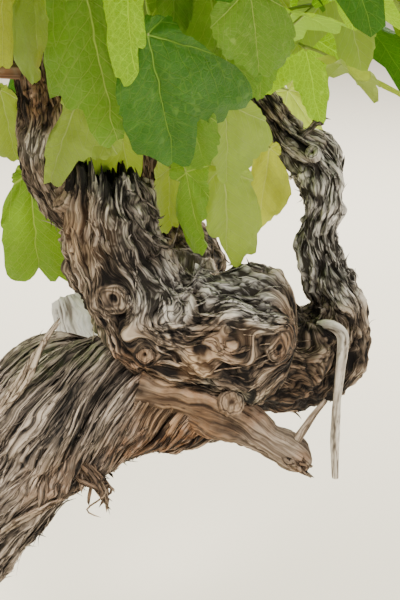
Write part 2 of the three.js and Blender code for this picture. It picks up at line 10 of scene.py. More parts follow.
import bpy
import numpy as np
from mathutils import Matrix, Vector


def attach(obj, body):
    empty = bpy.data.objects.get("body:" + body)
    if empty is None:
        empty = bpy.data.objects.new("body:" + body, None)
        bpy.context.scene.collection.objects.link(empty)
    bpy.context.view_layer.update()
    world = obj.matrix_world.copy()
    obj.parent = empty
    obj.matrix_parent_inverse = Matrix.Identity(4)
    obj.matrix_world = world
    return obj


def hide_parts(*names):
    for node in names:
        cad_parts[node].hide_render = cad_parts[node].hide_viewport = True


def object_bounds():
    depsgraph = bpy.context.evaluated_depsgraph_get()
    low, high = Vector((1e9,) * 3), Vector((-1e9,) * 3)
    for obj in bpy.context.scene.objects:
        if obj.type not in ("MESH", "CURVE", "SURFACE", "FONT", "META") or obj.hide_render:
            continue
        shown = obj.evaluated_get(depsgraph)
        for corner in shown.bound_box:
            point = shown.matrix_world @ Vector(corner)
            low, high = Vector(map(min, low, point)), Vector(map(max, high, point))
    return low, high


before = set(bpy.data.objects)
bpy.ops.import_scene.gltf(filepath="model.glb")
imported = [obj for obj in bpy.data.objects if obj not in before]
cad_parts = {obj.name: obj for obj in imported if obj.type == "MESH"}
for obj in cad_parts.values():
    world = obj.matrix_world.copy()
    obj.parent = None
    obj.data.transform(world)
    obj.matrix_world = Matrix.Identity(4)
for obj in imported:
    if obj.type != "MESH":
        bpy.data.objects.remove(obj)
CAD_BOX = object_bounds()

log = logging.getLogger("grapevine")
# Rows of places, colours or masks, and the parts of a material
Array = np.ndarray
Triple = tuple[float, float, float]
Pair = tuple[float, float]
Material = bpy.types.Material
Socket = bpy.types.NodeSocket
Tree = bpy.types.NodeTree
Object = bpy.types.Object
Groups = dict[str, Tree]
Attributes = dict[str, Array]
Names = tuple[str, ...]

MM = 0.001
UP = np.array([0.0, 0.0, 1.0])
GROUND_BODY = "root"

# The shoots and leaves grow by the source's rule, with its own sizes in mm, turns in degrees, and shares
LEAF_LENGTH = 118
INTERNODE = 60
INTERNODE_AT_TIP = 36
SHOOT_RADIUS = 5.5
SHOOT_TIP_RADIUS = 4
SIDE_SHOOT_RADIUS = 2.4
BELOW_JOINT = 11
STALK_SHARE = 0.62
CELL_MARGIN = 4
LIMB_MARGIN = 4
BLADE_CENTRE = 0.06
BLADE_MIDDLE = 0.4
LEAF_SPACING = 0.34
LEAF_TURNS = (0, 45, -45, 90, -90, 135, -135, 180)
LEAF_SWAY = 40
LEAF_TILT = (0.15, 0.95)
LEAF_REACH = 0.75
LEAF_SIZES = (0.86, 1.1)
TIP_SHRINK = 0.6
SHOOT_SWAY = 0.16
SHOOT_BOW = 0.28
SIDE_SHOOT_DROOP = 0.8
SIDE_SHOOT_CHANCE = 0.33
SIDE_SHOOT_LENGTH = 140
SIDE_LEAF_SHARE = 0.72
SKIRT_SLOPE = 0.2
STEM_LENGTH = 34
CLEARANCE = 0.3
CUP_ACROSS = 0.16
CUP_ALONG = 0.14
BEADS_PER_LIMB = 25

# The trunk's root flare, as the source has it: its rise and height in mm, and the lobes round it
FLARE_RISE = 34
FLARE_HEIGHT = 55
FLARE_LOBES = 5
FLARE_LOBE_SHARE = 0.4

# Finer twigs, which only this script adds, in mm and degrees
TWIG_LENGTH = 90
TWIG_DROOP = 0.6
TWIG_SWAY = 60
TWIG_SKIPPED = 0.25
TWIG_INSIDE = 60
TWIG_RADIUS = 1.68
TWIG_LEAF_SIZES = (0.42, 0.7)

# How stems are drawn: a mass's foot in shares of its radius, shoots at a share of the source's radius, and
# stalks at two radii in mm, with the sides of each
FOOT_RADII = (0.86, 0.84, 0.74, 0.62, 0.3)
FOOT_SIDES = 14
SHOOT_SHARE = 0.62
SHOOT_SIDES = 8
STALK_RADII = (1.5, 0.9)
STALK_SIDES = 6
STALK_STEPS = 7


def unit(vectors: Array) -> Array:
    """The vectors along the last axis, at length 1."""
    return vectors / np.maximum(np.linalg.norm(vectors, axis=-1, keepdims=True), 1e-12)


def smooth_step(low: float, high: float, values: Array) -> Array:
    """0 below low, 1 above high, and the cubic 3t^2 - 2t^3 between them."""
    t = np.clip((values - low) / (high - low), 0, 1)
    return t * t * (3 - 2 * t)


def linear(red: float, green: float, blue: float) -> tuple[float, float, float, float]:
    """A colour given as 0 to 255 on a screen, as the linear values that shaders take."""
    screen = np.array([red, green, blue]) / 255
    light = np.where(screen <= 0.04045, screen / 12.92, ((screen + 0.055) / 1.055) ** 2.4)
    return (float(light[0]), float(light[1]), float(light[2]), 1.0)


def lattice_noise(points: Array, seed: int) -> Array:
    """Smooth noise from about -1 to 1.

    A random slope stands at each corner of a unit lattice. A point takes the eight slopes round it,
    each run out to the point, blended by the quintic 6t^5 - 15t^4 + 10t^3.

    Args:
        points: Places to sample, with x, y, z on the last axis.
        seed: Which noise.

    Returns:
        One value per point.
    """
    corner = np.floor(points)
    part = points - corner
    fade = part**3 * (part * (part * 6 - 15) + 10)
    total = np.zeros(points.shape[:-1])
    for offset in np.ndindex(2, 2, 2):
        mixed = mixed_bits(corner + np.array(offset), seed)
        weight = np.ones(points.shape[:-1])
        run = np.zeros(points.shape[:-1])
        for axis, far in enumerate(offset):
            weight = weight * (fade[..., axis] if far else 1 - fade[..., axis])
            slope = ((mixed >> np.uint32(10 * axis)) & np.uint32(1023)) / 511.5 - 1
            run += slope * (part[..., axis] - far)
        total += weight * run
    return np.clip(1.7 * total, -1, 1)


def mixed_bits(corner: Array, seed: int) -> Array:
    """A whole number from 0 to 2^32 for each lattice corner, well mixed."""
    at = corner.astype(np.int64).astype(np.uint32)
    mixed = at[..., 0] * np.uint32(374761393) + at[..., 1] * np.uint32(668265263)
    mixed = mixed + at[..., 2] * np.uint32(2246822519) + np.uint32(seed * 97531 + 7)
    mixed = (mixed ^ (mixed >> np.uint32(13))) * np.uint32(1274126177)
    return mixed ^ (mixed >> np.uint32(16))


def cell_noise(points: Array, seed: int) -> tuple[Array, Array]:
    """Plates: space is shared out among random seeds, one in each cell of a unit lattice.

    Args:
        points: Places to sample.
        seed: Which plates.

    Returns:
        How much further the second nearest seed is than the nearest, 0 on a crack, and a number from 0 to 1
        that is the same all over a plate.
    """
    cell = np.floor(points)
    best = np.full(points.shape[:-1], 9.0)
    second = best.copy()
    own = np.zeros(points.shape[:-1])
    for offset in np.ndindex(3, 3, 3):
        corner = cell + np.array(offset) - 1
        bits = mixed_bits(corner, seed)
        jitter = np.stack(
            [(bits >> np.uint32(10 * axis) & np.uint32(1023)) / 1023.0 for axis in range(3)], axis=-1
        )
        away = np.linalg.norm(corner + jitter - points, axis=-1)
        nearer = away < best
        second = np.where(nearer, best, np.minimum(second, away))
        own = np.where(nearer, (bits >> np.uint32(4)) % np.uint32(997) / 996.0, own)
        best = np.where(nearer, away, best)
    return second - best, own


@dataclass(frozen=True)
class Limb:
    """A tube round a smooth curve, as the source draws it.

    The curve is a Catmull-Rom curve through (x, y, z, radius). Angle 0 points to facing, and a lump is
    (share of the length, angle in degrees, reach, rise).
    """

    spine: tuple[tuple[float, ...], ...]
    lumps: tuple[tuple[float, ...], ...] = ()
    domed: float = 0.0
    facing: Triple = (0, -1, 0)

    def curve(self, share: Array) -> Array:
        """The curve's x, y, z and radius at shares of its length, from 0 to 1."""
        spine = np.array(self.spine, float)
        spine = np.vstack([2 * spine[0] - spine[1], spine, 2 * spine[-1] - spine[-2]])
        spans = len(self.spine) - 1
        span = np.clip(np.floor(share * spans).astype(int), 0, spans - 1)
        t = (share * spans - span)[..., None]
        before, one, two, after = (spine[span + i] for i in range(4))
        square = before - 2.5 * one + 2 * two - 0.5 * after
        cube = 1.5 * (one - two) + 0.5 * (after - before)
        return one + 0.5 * t * (two - before) + t * t * square + t**3 * cube

    def axes(self, share: Array) -> tuple[Array, Array, Array]:
        """The heading, the direction of angle 0 and that of 90 degrees, at shares of the length."""
        ahead = self.curve(np.minimum(share + 0.01, 1))[..., :3]
        heading = unit(ahead - self.curve(np.maximum(share - 0.01, 0))[..., :3])
        facing = np.array(self.facing, float)
        front = unit(facing - heading * (heading @ facing)[..., None])
        return heading, front, np.cross(heading, front)

    def lump_places(self) -> list[tuple[Array, float, float]]:
        """Each lump's middle on the surface, its reach and its rise."""
        places = []
        for at, side, reach, rise in self.lumps:
            share = np.array([at])
            curve = self.curve(share)[0]
            _, front, across = self.axes(share)
            turn = np.radians(side)
            out = front[0] * np.cos(turn) + across[0] * np.sin(turn)
            places.append((curve[:3] + out * curve[3], reach, rise))
        return places


LIMBS = {
    "trunk": Limb(
        spine=(
            (-1, 0, -30, 50), (2, 0, 45, 49), (16, 1, 120, 46), (43, 2, 198, 45), (84, 2, 272, 47),
            (131, 1, 334, 53), (168, 1, 365, 58), (204, 2, 377, 54), (246, 2, 383, 46), (290, 0, 384, 38),
            (326, -4, 382, 27),
        ),
        lumps=(
            (0.56, 200, 40, 7), (0.62, 130, 34, 9), (0.3, 250, 45, 5), (0.4, 40, 50, 5), (0.78, 80, 30, -8),
        ),
        domed=0.12,
    ),
    "fist": Limb(
        spine=(
            (232, -6, 436, 34), (262, -8, 440, 43), (296, -12, 443, 48), (328, -15, 443, 50),
            (366, -17, 436, 44),
        ),
        lumps=(
            (0.86, 100, 18, 7), (0.78, 45, 20, 5), (0.42, 120, 24, 5), (0.66, -50, 20, 6), (0.5, 0, 22, -4),
        ),
        domed=0.3,
    ),
    "arm_left": Limb(
        spine=(
            (300, -8, 436, 33), (268, -8, 440, 38), (246, -6, 457, 37), (231, -3, 488, 35),
            (220, -1, 522, 33), (216, 0, 552, 31), (213, 0, 580, 27),
        ),
        lumps=((0.36, 20, 20, 5), (0.82, 200, 22, 7), (0.7, 170, 22, 5)),
    ),
    "spur_left": Limb(
        spine=(
            (206, 0, 536, 17), (186, -1, 546, 14), (173, -2, 563, 11), (166, -3, 583, 12),
            (167, -3, 604, 15), (171, -3, 626, 18), (169, -2, 644, 17),
        ),
        lumps=((0.8, 90, 12, 5),),
    ),
    "dead_spur": Limb(
        spine=(
            (244, -22, 402, 22), (268, -28, 398, 20), (296, -33, 392, 18), (322, -38, 381, 16),
            (347, -43, 366, 14), (378, -48, 346, 14),
        ),
        lumps=((0.47, 55, 15, 6),), domed=0.06,
    ),
    "dead_twig": Limb(
        spine=((362, -46, 360, 4.2), (371, -46, 376, 3.4), (380, -45, 390, 2.6), (389, -44, 402, 2))
    ),
    "right_base": Limb(
        spine=(
            (236, 30, 384, 38), (286, 56, 382, 40), (334, 82, 379, 42), (378, 106, 377, 45),
            (428, 128, 384, 38),
        ),
        lumps=((0.72, -60, 24, 6), (0.66, 110, 24, 5)), domed=0.28,
    ),
    "arm_right": Limb(
        spine=(
            (404, 124, 378, 30), (418, 128, 412, 25), (407, 131, 447, 20), (396, 135, 483, 17),
            (398, 140, 517, 17), (396, 145, 547, 20), (372, 150, 568, 14), (345, 155, 598, 10),
        ),
        lumps=((0.72, 160, 18, 6), (0.2, 0, 22, 5)),
    ),
    "hook": Limb(
        spine=(
            (394, 92, 414, 3.6), (404, 80, 417, 4.6), (413, 74, 411, 5.4), (413, 72, 394, 4.8),
            (410, 74, 352, 3.8), (410, 78, 311, 4.2), (412, 82, 270, 3),
        ),
    ),
    "arm_back": Limb(
        spine=(
            (214, 28, 388, 34), (240, 90, 394, 32), (264, 150, 404, 30), (276, 198, 424, 28),
            (262, 216, 458, 20), (246, 208, 496, 14), (242, 202, 534, 12), (244, 197, 572, 10),
        ),
        lumps=((0.42, 90, 22, 7), (0.5, -60, 20, 5)), facing=(-1, 0, 0),
    ),
    "back_left": Limb(
        spine=((214, 34, 384, 20), (198, 58, 400, 18), (183, 76, 418, 16), (174, 86, 440, 12)),
        lumps=((0.75, 60, 10, 4),), domed=0.1,
    ),
    "arm_far_left": Limb(
        spine=(
            (104, 10, 296, 40), (66, 30, 322, 36), (26, 54, 362, 30), (-4, 74, 416, 24), (-12, 84, 476, 19),
            (-8, 90, 530, 15), (-14, 94, 574, 12),
        ),
        lumps=((0.5, 40, 22, 6), (0.74, 180, 18, 5)),
    ),
}


class Sheet:
    """Faces gathered from grids of points and from fans, to be joined into one piece."""

    def __init__(self) -> None:
        """Starts with nothing on it."""
        self.vertices: list[Array] = []
        self.faces: list[Array] = []
        self.uv: list[Array] = []
        self.index: list[Array] = []
        self.attributes: dict[str, list[Array]] = {}
        self.count = 0

    def put(self, points: Array, attributes: Attributes) -> Array:
        """Keeps points of any shape with their values, and numbers them in that shape."""
        self.vertices.append(points.reshape(-1, 3))
        for key, values in attributes.items():
            width = values.shape[points.ndim - 1 :]
            self.attributes.setdefault(key, []).append(values.reshape(-1, *width))
        at = np.arange(points.size // 3).reshape(points.shape[:-1]) + self.count
        self.count += at.size
        return at

    def add(self, grids: Array, closed: bool, attributes: Attributes, uv: Array, index: int = 0) -> Array:
        """Puts on grids of points, (n, rows, columns, 3), each joined up into four-sided faces.

        A grid that is closed and has four columns is a strip, and a face shuts each of its ends.

        Args:
            grids: The points.
            closed: Whether the last column meets the first.
            attributes: One value or vector for each point.
            uv: The flat map of each grid's lattice, (n, rows, columns or columns + 1, 2).
            index: Which finish the faces take.

        Returns:
            The points' numbers, (n, rows, columns).
        """
        at = self.put(grids, attributes)
        ahead = np.roll(at, -1, axis=2) if closed else at[:, :, 1:]
        here = at if closed else at[:, :, :-1]
        quads = np.stack([here[:, :-1], ahead[:, :-1], ahead[:, 1:], here[:, 1:]], axis=-1)
        corner = np.stack([uv[:, :-1, :-1], uv[:, :-1, 1:], uv[:, 1:, 1:], uv[:, 1:, :-1]], axis=-2)
        self.faces.append(quads.reshape(-1, 4))
        self.uv.append(corner.reshape(-1, 4, 2))
        self.index.append(np.full(quads.size // 4, index))
        if closed and at.shape[2] == 4:
            self.faces += [at[:, 0, ::-1], at[:, -1]]
            self.uv += [uv[:, 0, 3::-1], uv[:, -1, :4]]
            self.index.append(np.full(2 * len(at), index))
        return at

    def fan(self, ring: Array, uv: Array, middle: Array, attributes: Attributes, low: bool) -> None:
        """Closes a ring with three-sided faces that meet in a point at its middle.

        Args:
            ring: The numbers of the ring's points.
            uv: The flat map at the ring, (columns + 1, 2).
            middle: The point, (1, 3).
            attributes: Its values.
            low: Whether the ring is a grid's first, and not its last.
        """
        tip = np.full(len(ring), self.put(middle, attributes)[0])
        beyond = np.stack([(uv[:-1, 0] + uv[1:, 0]) / 2, np.full(len(ring), 0.0 if low else 1.0)], axis=-1)
        ahead = np.roll(ring, -1)
        faces, corners = [ring, ahead, tip], [uv[:-1], uv[1:], beyond]
        if low:
            faces, corners = [tip, ahead, ring], [beyond, uv[1:], uv[:-1]]
        self.faces.append(np.stack(faces, axis=-1))
        self.uv.append(np.stack(corners, axis=1))
        self.index.append(np.zeros(len(ring), int))

    def piece(self, name: str, materials: list[Material], slot: str, replaces: Names = ()) -> Object:
        """Makes the sheet one mesh object that rides on the plant.

        Args:
            name: The piece's name.
            materials: Its finishes.
            slot: The record's material slot; not used.
            replaces: The source's nodes that the piece stands for.

        Returns:
            The new object.
        """
        mesh = bpy.data.meshes.new(name)
        vertices = np.concatenate(self.vertices)
        mesh.vertices.add(len(vertices))
        mesh.vertices.foreach_set("co", (vertices * MM).astype(np.float32).ravel())
        corners = np.concatenate([part.ravel() for part in self.faces]).astype(np.int32)
        counts = np.concatenate([np.full(len(part), part.shape[1]) for part in self.faces])
        mesh.loops.add(len(corners))
        mesh.loops.foreach_set("vertex_index", corners)
        mesh.polygons.add(len(counts))
        starts = np.concatenate([[0], np.cumsum(counts)[:-1]]).astype(np.int32)
        mesh.polygons.foreach_set("loop_start", starts)
        mesh.polygons.foreach_set("use_smooth", np.ones(len(counts), bool))
        for material in materials:
            mesh.materials.append(material)
        mesh.polygons.foreach_set("material_index", np.concatenate(self.index).astype(np.int32))
        flat = np.concatenate([part.ravel() for part in self.uv])
        mesh.uv_layers.new(name="OFBake").data.foreach_set("uv", flat.astype(np.float32))
        for key, parts in self.attributes.items():
            values = np.concatenate(parts)
            kind, member = ("FLOAT_VECTOR", "vector") if values.ndim == 2 else ("FLOAT", "value")
            layer = mesh.attributes.new(key, kind, "POINT")
            layer.data.foreach_set(member, values.astype(np.float32).ravel())
        mesh.update(calc_edges=True)
        mesh.validate()
        piece = bpy.data.objects.new(name, mesh)
        bpy.context.scene.collection.objects.link(piece)
        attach(piece, GROUND_BODY)
        if replaces:
            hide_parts(*replaces)
        log.info("%s: %d vertices, %d faces", name, len(vertices), len(counts))
        return piece


def tile_map(tiles: int, rows: int, columns: int) -> Array:
    """A flat map that gives each of many grids its own tile of the unit square.

    Args:
        tiles: How many grids there are.
        rows: Lattice rows of each.
        columns: Lattice columns of each.

    Returns:
        An array (tiles, rows, columns, 2), with a thin border kept round each tile.
    """
    across = int(np.ceil(np.sqrt(tiles)))
    number = np.arange(tiles)
    corner = np.stack([number % across, number // across], axis=-1)[:, None, None, :]
    lattice = np.stack(
        np.meshgrid(np.linspace(0.04, 0.96, columns), np.linspace(0.04, 0.96, rows)), axis=-1
    )
    return (corner + lattice[None]) / across


class Kind(Enum):
    """What a mark on the wood is."""

    EYE = "eye"
    CUT = "cut"
    HOLE = "hole"


class Tint(Enum):
    """Which colour a place on the wood leans to."""

    WARM = "warm"
    PALE = "pale"
    # Burnt wood, and painted shadow under the fist
    CHAR = "char"
    MOSS = "moss"
    # Grey weathering, and painted light on the fist's top and the right riser
    SILVER = "silver"
    BLEACHED = "bleached"


class End(Enum):
    """How a limb ends."""

    BURIED = "buried"
    DOMED = "domed"
    RAGGED = "ragged"
    BROKEN = "broken"
    FOOT = "foot"


@dataclass(frozen=True)
class Mark:
    """A knot in the wood: where it is, how large, and how far its rim stands out, in mm."""

    place: Triple
    size: float
    rise: float
    kind: Kind = Kind.EYE


@dataclass(frozen=True)
class Grain:
    """How a limb's bark is made, in mm.

    Ropes, layers, flakes, cracks and fibres have a width, a length and a height, lumps a size and a height.
    Meander is how far the grain wanders, broadly and closely, in radians. Warp is how far it is bent aside
    in space, and over what size. Twist is how it turns to a mm, in radians, and from how far along. Ledge is
    how dark the foot of a layer and the edge of a flake are, as painted shade, and how much lighter a layer's
    lip is, as a painted highlight. Drawn out is where longer marks start along the limb, and what share of
    each mm counts there.
    """

    rope: Triple = (30, 240, 8.0)
    layer: Triple = (24, 210, 8.0)
    flake: Triple = (10, 90, 4.0)
    crack: Triple = (11, 80, 3.0)
    fibre: Triple = (2.7, 70, 0.9)
    lump: Pair = (40, 3.5)
    meander: Pair = (0.1, 0.04)
    warp: Pair = (3, 16)
    twist: Pair = (0.0, 0.0)
    ledge: float = 0.8
    drawn_out: Pair = (0.0, 1.0)


# Stretches of wood that lean to a tint: the middle, how far it reaches, and how strong it is
PATCHES = {
    Tint.WARM: (
        ((376, -56, 350), 16, 0.5), ((356, -44, 464), 22, 0.6), ((300, -62, 446), 30, 0.5),
        ((238, -44, 430), 24, 0.7), ((274, -45, 380), 46, 1.0), ((246, -50, 352), 34, 0.8),
        ((330, -40, 404), 30, 0.6), ((362, 70, 362), 44, 0.6), ((400, 120, 500), 40, 0.35),
        ((250, 190, 500), 60, 0.5), ((356, -40, 440), 26, 0.6), ((183, -40, 330), 40, 0.5),
        ((168, -16, 640), 24, 0.8), ((130, -14, 658), 34, 1.0),
    ),
    Tint.PALE: (
        ((286, -62, 434), 17, 1.0), ((202, -34, 533), 26, 0.8), ((332, -66, 466), 14, 0.6),
        ((262, -48, 400), 26, 0.5), ((300, -56, 392), 26, 0.25),
    ),
    # Burnt wood at the left arm's top and the right arm's tip; (300, -46, 424) and (330, -50, 414) are
    # painted shadow under the fist
    Tint.CHAR: (
        ((219, -10, 580), 30, 1.0), ((345, 155, 604), 16, 0.9), ((342, -50, 476), 16, 0.5),
        ((300, -46, 424), 15, 0.8), ((386, -56, 342), 12, 0.6), ((330, -50, 414), 15, 0.8),
    ),
    Tint.MOSS: (((202, -20, 444), 22, 0.9), ((160, -10, 420), 26, 0.6)),
    # Grey weathering, and painted light: the fist's top and the right riser at (398, 130, 500) are lightened
    # as if lit
    Tint.SILVER: (
        ((314, -30, 510), 42, 0.9), ((262, -40, 490), 30, 0.6), ((336, -50, 494), 28, 0.8),
        ((240, -26, 540), 40, 0.35), ((398, 130, 500), 80, 0.9),
    ),
    Tint.BLEACHED: (((276, 172, 430), 30, 0.6), ((166, -18, 600), 14, 0.7)),
}


def paint(points: Array) -> Attributes:
    """How far each point of wood leans to each tint.

    Each patch fades as exp(-(distance / reach)^2), and its edge is broken up by noise.

    Args:
        points: Places in mm.

    Returns:
        A number from 0 to 1 per point for each tint, by its name.
    """
    ragged = 0.5 * lattice_noise(points / 13, 71) + 0.35 * lattice_noise(points / 5, 72)
    masks = {}
    for tint, patches in PATCHES.items():
        mask = np.zeros(points.shape[:-1])
        for place, reach, strength in patches:
            away = np.linalg.norm(points - np.array(place), axis=-1) / reach
            mask = np.maximum(
                mask, strength * smooth_step(0.15, 0.75, np.exp(-away * away) + 0.35 * ragged)
            )
        masks[tint.value] = mask
    return masks


def terraces(field: Array, steps: float, ledge: float) -> tuple[Array, Array]:
    """Cuts a smooth field into flat steps with steep sides, as layers of bark lie on each other.

    With level = field * steps, the height is the whole part of level, a steep rise over the first fifth of
    the rest, and a slight slope after it, over steps. The light value dips where a side meets the step below,
    as painted shade, and rises a little just above each rise, as a painted highlight on the lip.

    Args:
        field: The field, from about -1 to 1.
        steps: Steps to a unit of it.
        ledge: How dark the foot of a step is, as painted shade, and how light its lip, as a painted
            highlight.

    Returns:
        The height, in the field's unit, and the light value from 0 to 1.
    """
    level = field * steps
    whole = np.floor(level)
    rest = level - whole
    height = (whole + 0.75 * smooth_step(0.0, 0.2, rest) + 0.25 * rest) / steps
    foot = np.minimum(rest, 1 - rest) / 0.15
    lip = np.exp(-(((rest - 0.3) / 0.14) ** 2))
    return height, (1 - ledge * np.exp(-foot * foot)) * (1 - 0.2 * ledge + 0.37 * ledge * lip)


# A strip's section: the way across in widths and the way out in depths
SECTION = ((-0.5, 0.0), (0.08, -0.25), (0.5, 0.05), (-0.1, 0.3))
# A wide strip's depth: a share of its width, and so many mm more
STRIP_FLATNESS = 0.35
STRIP_DEPTH = 0.9


def ribbons(centre: Array, out: Array, width: Array) -> Array:
    """Thin strips along paths, with a four-cornered section like a flat lozenge.

    Wide strips are flatter than narrow ones, and none is deeper than it is wide.

    Args:
        centre: The paths, (n, steps, 3).
        out: The way each strip's back faces, of the same shape.
        width: Widths, (n, steps).

    Returns:
        Grids of points, (n, steps, 4, 3).
    """
    tangent = unit(np.gradient(centre, axis=1))
    across = unit(np.cross(tangent, out))
    rise = np.cross(across, tangent)
    depth = np.minimum(width, STRIP_FLATNESS * width + STRIP_DEPTH)
    section = [across * (a * width)[..., None] + rise * (b * depth)[..., None] for a, b in SECTION]
    return centre[:, :, None] + np.stack(section, axis=2)


# The length over which a twist sets in, in mm
TWIST_EASE = 120
# Steps of bark to a unit of noise
TERRACES = 2.6
# How far a flake's shadow reaches, how far apart a knot's rings lie, and how deep rot and an eye are, in mm
FLAKE_SHADOW = 2.0
YEAR_RING = 4.2
HOLE_DEPTH = 7
EYE_DEPTH = 2.5
# How far the bark's foot stands above its sole, and how far on along the grain a closing ring is, in mm
SOLE_RISE = 0.6
CLOSING_STEP = 4
# How a limb's end closes: each further ring's size and how far it lies along the limb, in mm
RAGGED_CLOSING = ((0.93, 0.5), (0.84, -3), (0.78, -10), (0.66, -18), (0.4, -24))
BROKEN_CLOSING = ((0.72, 1.5), (0.4, -1.5))
# Rows of points on a loose strip, the strips' widths in mm, and the share of each width
STRIP_STEPS = 8
STRIP_WIDTHS = (0.9, 1.5, 2.4, 4.2, 7.0)
STRIP_SHARES = (0.28, 0.3, 0.22, 0.14, 0.06)


@dataclass(frozen=True)
class BarkedLimb:
    """A limb with its bark in relief, on a grid of rings and columns, with loose strips of bark along it."""

    name: str
    limb: Limb
    covers: Names
    rows: int
    columns: int
    grain: Grain = Grain()
    start: End = End.BURIED
    end: End = End.DOMED
    marks: tuple[Mark, ...] = ()
    strips: int = 0
    strip_length: Pair = (30, 130)
    seed: int = 1
    slot: str = "bark"
    jag: float = 18
    slant: float = 0

    def shares(self) -> tuple[Array, Array]:
        """The rings' shares of the curve, even along its length, and their distance along it in mm."""
        dense = np.linspace(0, 1, 600)
        curve = self.limb.curve(dense)
        if self.start is End.FOOT:
            dense = dense[curve[:, 2] > 6]
            curve = self.limb.curve(dense)
        run = np.concatenate([[0], np.cumsum(np.linalg.norm(np.diff(curve[:, :3], axis=0), axis=1))])
        even = np.linspace(0, run[-1], self.rows)
        return np.interp(even, run, dense), even

    def bare(self, share: Array, angle: Array) -> tuple[Array, Array, Array]:
        """The limb's surface before its bark: the source's radius with its ripples, lumps and root flare.

        Args:
            share: Shares of the curve.
            angle: Angles round it, of the same shape.

        Returns:
            The middle line's places, the outward directions, and the radius.
        """
        curve = self.limb.curve(share)
        _, front, across = self.limb.axes(share)
        out = front * np.cos(angle)[..., None] + across * np.sin(angle)[..., None]
        base = curve[..., 3]
        radius = base * (1 + 0.04 * np.sin(3 * angle + 9 * share) + 0.025 * np.sin(5 * angle - 14 * share))
        shell = curve[..., :3] + out * base[..., None]
        for source in self.covers:
            for place, reach, rise in LIMBS[source].lump_places():
                away = np.sum((shell - place) ** 2, axis=-1)
                radius = radius + rise * np.exp(-away / reach**2)
        if self.start is End.FOOT:
            lobe = 1 + FLARE_LOBE_SHARE * np.cos(FLARE_LOBES * angle)
            radius = radius + FLARE_RISE * lobe * np.exp(-np.maximum(curve[..., 2], 0) / FLARE_HEIGHT)
        for end, into in ((self.start, 1 - share), (self.end, share)):
            if end is End.DOMED and self.limb.domed:
                past = np.clip((into - 1 + self.limb.domed) / self.limb.domed, 0, 1)
                radius = radius * np.sqrt(np.maximum(0.0, 1 - past * past))
        return curve[..., :3], out, radius

    def wander(self, places: Array) -> Array:
        """How far the grain has turned aside at each place, in radians."""
        noises = [lattice_noise(places / size, self.seed + i) for size, i in ((60, 11), (18, 12))]
        return self.grain.meander[0] * noises[0] + self.grain.meander[1] * noises[1]

    def turning(self, along: Array) -> Array:
        """How far the grain has twisted round the limb, in radians, at distances along it."""
        rate, start = self.grain.twist
        past = np.maximum(along - start, 0) / TWIST_EASE
        return rate * TWIST_EASE * np.where(past < 1, past**3 - past**4 / 2, past - 0.5)

    def flow(self, angle: Array, along: Array, places: Array) -> tuple[Array, Array]:
        """How the grain runs: it meanders, twists, and parts round each mark as water does round a post.

        Past a post of radius a, a stream line at distance y from its middle line lies at y (1 - a^2 / r^2).

        Args:
            angle: Angles round the limb.
            along: Distances along it.
            places: The same points in space.

        Returns:
            The grain's coordinates on a cylinder, and the distance to the nearest mark over its size.
        """
        girth = float(np.mean([point[3] for point in self.limb.spine]))
        strength, size = self.grain.warp
        bend, slide = (strength * lattice_noise(places / size, self.seed + i) for i in (14, 15))
        turned = angle + self.turning(along) + self.wander(places) + bend / girth
        nearest = np.full(angle.shape, 9.0)
        for mark in self.marks:
            away = np.linalg.norm(places - np.array(mark.place), axis=-1)
            at = np.unravel_index(np.argmin(away), away.shape)
            over = np.arctan2(np.sin(angle - angle[at]), np.cos(angle - angle[at])) * girth
            apart = np.maximum(away, mark.size * 0.8)
            turned = turned - over * (mark.size / apart) ** 2 / girth * 0.9
            nearest = np.minimum(nearest, away / mark.size)
        begins, slower = self.grain.drawn_out
        past = np.maximum(along - begins, 0)
        run = along - past + past * slower + slide
        cylinder = np.stack([girth * np.cos(turned), girth * np.sin(turned), run], axis=-1)
        return cylinder, nearest

    def relief(self, cylinder: Array, places: Array, nearest: Array) -> tuple[Array, Array]:
        """The bark's height in mm and its light value, from 0 in a cleft to 1 on a crest.

        Ropes are broad ridges parted by clefts. Layers are terraces of noise drawn out along the grain, and
        flakes are cells between seeds, each at its own height. Cracks lie where another noise passes zero,
        and fibres are its narrowest ridges. The light value is painted shade, darkest in clefts, cracks and
        holes, at the feet of layers and round flakes, with a painted highlight on each layer's lip.

        Args:
            cylinder: The grain's coordinates.
            places: The points in space.
            nearest: The distance to the nearest mark over its size.

        Returns:
            Height and value, one each per point.
        """
        grain, seed = self.grain, self.seed

        def drawn(shape: Triple, number: int, share: float = 1.0) -> Array:
            """Noise drawn out along the grain to a share of a width and a length."""
            return lattice_noise(
                cylinder / (shape[0] * share, shape[0] * share, shape[1] * share), seed + number
            )

        def spaced(size: float, number: int) -> Array:
            """Noise of a size in space."""
            return lattice_noise(places / size, seed + number)

